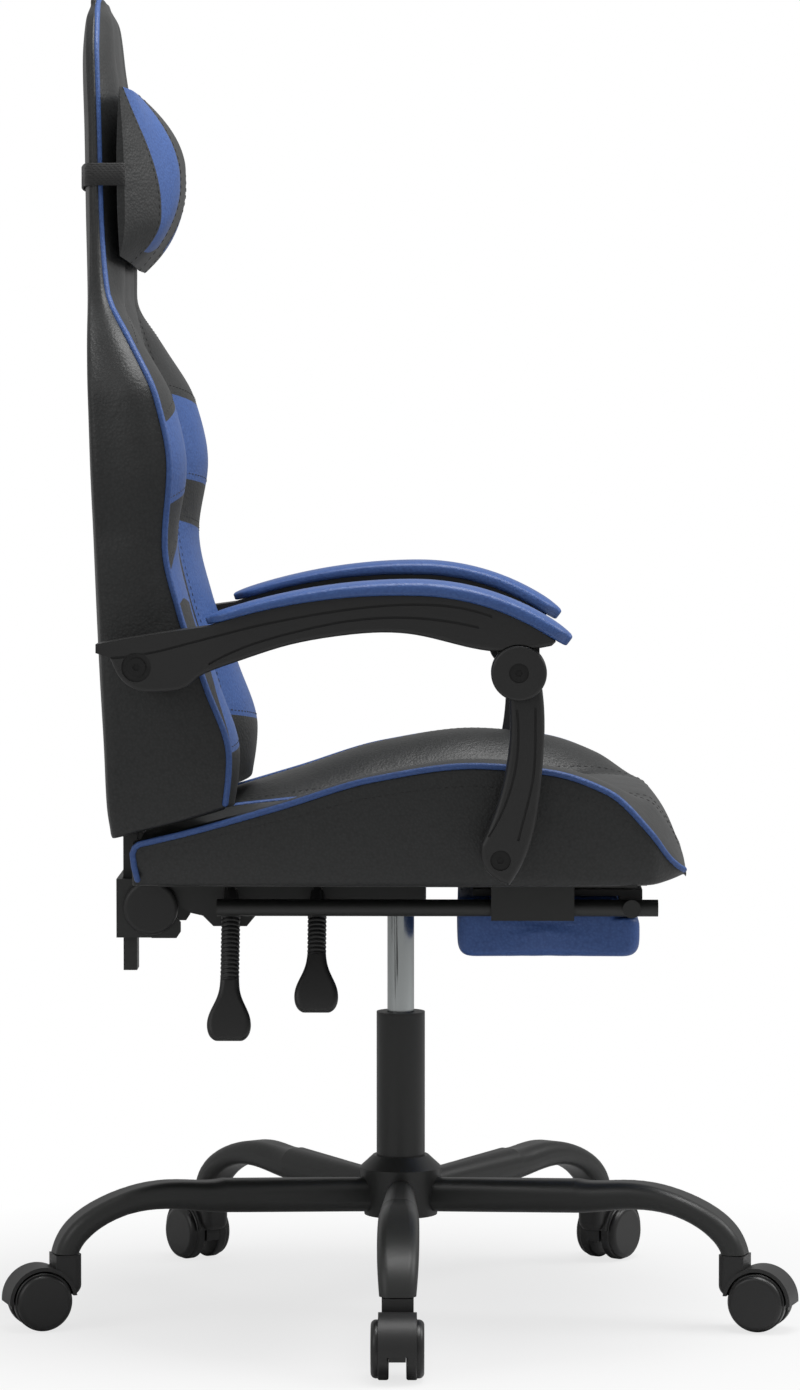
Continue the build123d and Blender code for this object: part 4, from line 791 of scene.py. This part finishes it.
# Head strap: a flat band sewn to the pillow's ends
bend = np.radians(np.linspace(0, 90, 8))
flat = np.linspace(0, 1, 12)[:-1]
strap_x = np.concatenate([STRAP_REAR + STRAP_BOW * flat**2,
                          STRAP_REAR + STRAP_BOW + STRAP_TURN * (1 - np.cos(bend)), [STRAP_END]])
strap_y = np.concatenate([flat * (STRAP_HALF - STRAP_TURN),
                          STRAP_HALF - STRAP_TURN * (1 - np.sin(bend)), [STRAP_HALF]])
path = np.stack([strap_x, strap_y, np.full(strap_x.shape, STRAP_HEIGHT)], axis=1)
path = resample(np.concatenate([path[:0:-1] * (1, -1, 1), path]), 0.005)
ahead = np.gradient(path, axis=0)
ahead /= np.linalg.norm(ahead, axis=1, keepdims=True)
outward = np.stack([ahead[:, 1], -ahead[:, 0], np.zeros(len(path))], axis=1)
thick, tall = STRAP_THICK / 2, STRAP_WIDTH / 2
profile = [(thick, -tall + 0.001), (thick, tall - 0.001), (0.3 * thick, tall), (-0.3 * thick, tall),
           (-thick, tall - 0.001), (-thick, -tall + 0.001), (-0.3 * thick, -tall), (0.3 * thick, -tall)]
strap_rings = np.array([[p + n * a + np.array((0, 0, b)) for a, b in profile] for p, n in zip(path, outward)])
strap = shell("head_strap_band", strap_rings, np.zeros(strap_rings.shape[:2], int), [webbing])
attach(strap, "pillow")
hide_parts("head_strap")


# Arm pads: soft moulded skins over the beams
def pad_rings(hand):
    """Rows of one arm pad from its rear end to its front end."""
    rings = []
    rear, front = PAD_ENDS
    xs = np.concatenate([rear + 0.02 * (1 - np.cos(np.linspace(0.25, math.pi / 2, 8))),
                         np.linspace(rear + 0.026, front - 0.028, 44),
                         front - 0.022 * (1 - np.sin(np.linspace(0, math.pi / 2 - 0.25, 8)))])
    angles = np.linspace(0, 2 * math.pi, 40, endpoint=False)
    for x in xs:
        radius = PAD_ARCS[0] if x < PAD_CROWN[0] else PAD_ARCS[1]
        lean = math.asin((x - PAD_CROWN[0]) / radius)
        top = PAD_CROWN[1] - radius * (1 - math.cos(lean))
        inset = max(0.0, 1 - min(x - rear, front - x) / PAD_END_ROUND)
        width = PAD_HALF * math.sqrt(max(0.0, 1 - 0.72 * inset**2.2))
        thick = float(np.interp(x, (rear, PAD_CROWN[0]), (PAD_TAIL, PAD_THICK)))
        depth = thick / 2 * math.sqrt(max(0.0, 1 - 0.35 * inset**2.4))
        across = np.sign(np.cos(angles)) * np.abs(np.cos(angles)) ** 0.42 * width
        power = np.where(np.sin(angles) > 0, 0.55, 0.3)
        raised = np.sign(np.sin(angles)) * np.abs(np.sin(angles)) ** power * depth
        raised -= np.where(np.sin(angles) > 0, 0.0018 * (across / PAD_HALF) ** 2, 0)
        down = thick / 2
        centre = np.array((x - down * math.sin(lean), hand * ARM_Y, top - down * math.cos(lean)))
        up = np.array((math.sin(lean), 0, math.cos(lean)))
        rings.append(centre + np.outer(raised, up) + np.outer(across, (0, 1, 0)))
    return np.array(rings)


for hand, word in ((1, "left"), (-1, "right")):
    stack, _ = round_ends(pad_rings(hand), 0.004)
    pad = shell(f"arm_pad_skin_{word}", stack, np.zeros(stack.shape[:2], int), [blue_foam])
    smooth_once(pad)
    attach(pad, f"arm_{word}")
    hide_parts(f"arm_pad_{word}")


# Footrest pad: a rounded foam block with a step at its front top for the pivot
def rest_outline():
    """Side outline of the footrest pad, with rounded corners and the step for the pivot."""
    rear, low = REST_LOW[0], REST_LOW[2]
    front, high = REST_HIGH[0], REST_HIGH[2]
    step_x, step_z = REST_NOTCH
    corners = [(rear, low, REST_ROUND), (front, low, REST_ROUND), (front, step_z, 0.004),
               (step_x, step_z, 0.003), (step_x, high, 0.004), (rear, high, 0.005)]
    points = []
    for n, (x, z, radius) in enumerate(corners):
        here = np.array((x, z))
        before = np.array(corners[n - 1][:2]) - here
        after = np.array(corners[(n + 1) % len(corners)][:2]) - here
        start = here + before / np.linalg.norm(before) * radius
        end = here + after / np.linalg.norm(after) * radius
        for t in np.linspace(0, 1, 6):
            points.append((1 - t) ** 2 * start + 2 * t * (1 - t) * here + t**2 * end)
    points.append(points[0])
    return resample([(p[0], 0, p[1]) for p in points], 0.0062)[:-1]


outline = rest_outline()
across = np.linspace(REST_LOW[1] + 0.012, REST_HIGH[1] - 0.012, 40)
rest_stack = np.array([outline + np.array((0, y, 0)) for y in across])
rest_stack, rest_cap = round_ends(rest_stack, 0.0115, 5)
rest_pad = shell("footrest_pad_cover", rest_stack, np.zeros(rest_stack.shape[:2], int), [blue_leather])
held = np.zeros(rest_stack.shape[:2])
held[rest_stack[:, :, 2] > REST_NOTCH[1] - 0.003] = 1.0
held[:rest_cap + 1] = np.maximum(held[:rest_cap + 1], 0.6)
held[-rest_cap - 1:] = np.maximum(held[-rest_cap - 1:], 0.6)
swell(rest_pad, held.ravel(), *REST_SWELL)
smooth_once(rest_pad)
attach(rest_pad, "footrest_flap")
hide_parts("footrest_pad")

# Studio: white surroundings, a floor that keeps a faint shadow, soft lamps and the camera
world = bpy.data.worlds.new("studio")
scene.world = world
world.use_nodes = True
tree = world.node_tree
tree.nodes.clear()
rays = add_node(tree, "ShaderNodeLightPath")
ambient = add_node(tree, "ShaderNodeBackground", {"Color": (1, 1, 1, 1), "Strength": AMBIENT})
backdrop = add_node(tree, "ShaderNodeBackground", {"Color": (1, 1, 1, 1), "Strength": 1.0})
mirrored = add_node(tree, "ShaderNodeMath",
                    {"operation": "MULTIPLY_ADD", 1: MIRRORED_SHARE, "use_clamp": True},
                    {0: rays.outputs["Is Glossy Ray"], 2: rays.outputs["Is Camera Ray"]})
blend = add_node(tree, "ShaderNodeMixShader",
                 links={0: mirrored.outputs[0], 1: ambient.outputs[0], 2: backdrop.outputs[0]})
add_node(tree, "ShaderNodeOutputWorld", links={0: blend.outputs[0]})

floor_finish = bpy.data.materials.new("studio_floor")
floor_finish.use_nodes = True
tree = floor_finish.node_tree
tree.nodes.clear()
place = add_node(tree, "ShaderNodeTexCoord")
distance = add_node(tree, "ShaderNodeVectorMath", {"operation": "LENGTH"}, {0: place.outputs["Object"]})
fade = add_node(tree, "ShaderNodeMapRange",
                {"From Min": 0.30, "From Max": 0.75, "To Min": 0.72, "To Max": 1.0},
                {"Value": distance.outputs["Value"]})
rays = add_node(tree, "ShaderNodeLightPath")
share = add_node(tree, "ShaderNodeMath", {"operation": "MULTIPLY"},
                 {0: rays.outputs["Is Camera Ray"], 1: fade.outputs[0]})
paint = add_node(tree, "ShaderNodeBsdfDiffuse", {"Color": linear("#D2D2D2")})
glow = add_node(tree, "ShaderNodeEmission", {"Color": (1, 1, 1, 1), "Strength": 1.0})
mixed = add_node(tree, "ShaderNodeMixShader",
                 links={0: share.outputs[0], 1: paint.outputs[0], 2: glow.outputs[0]})
add_node(tree, "ShaderNodeOutputMaterial", links={0: mixed.outputs[0]})

bpy.ops.mesh.primitive_circle_add(vertices=64, radius=9.0, fill_type="NGON", location=(0, 0, -0.0004))
floor = bpy.context.object
floor.name = "studio_floor"
floor.data.materials.append(floor_finish)


def lamp(name, place, aim, size, watts):
    """Square soft lamp aimed at a point."""
    data = bpy.data.lights.new(name, "AREA")
    data.energy = watts
    data.size = size
    lit = bpy.data.objects.new(name, data)
    lit.location = place
    lit.rotation_euler = (Vector(aim) - Vector(place)).to_track_quat("-Z", "Y").to_euler()
    scene.collection.objects.link(lit)


for setting in LAMPS:
    lamp(*setting)

camera_data = bpy.data.cameras.new("camera")
camera_data.lens = LENS_MM
camera_data.sensor_width = 36
camera = bpy.data.objects.new("camera", camera_data)
camera.location = CAMERA_PLACE
camera.rotation_euler = (math.radians(90 - CAMERA_PITCH), 0, math.radians(CAMERA_YAW))
scene.collection.objects.link(camera)
scene.camera = camera
scene.view_settings.view_transform = "Standard"
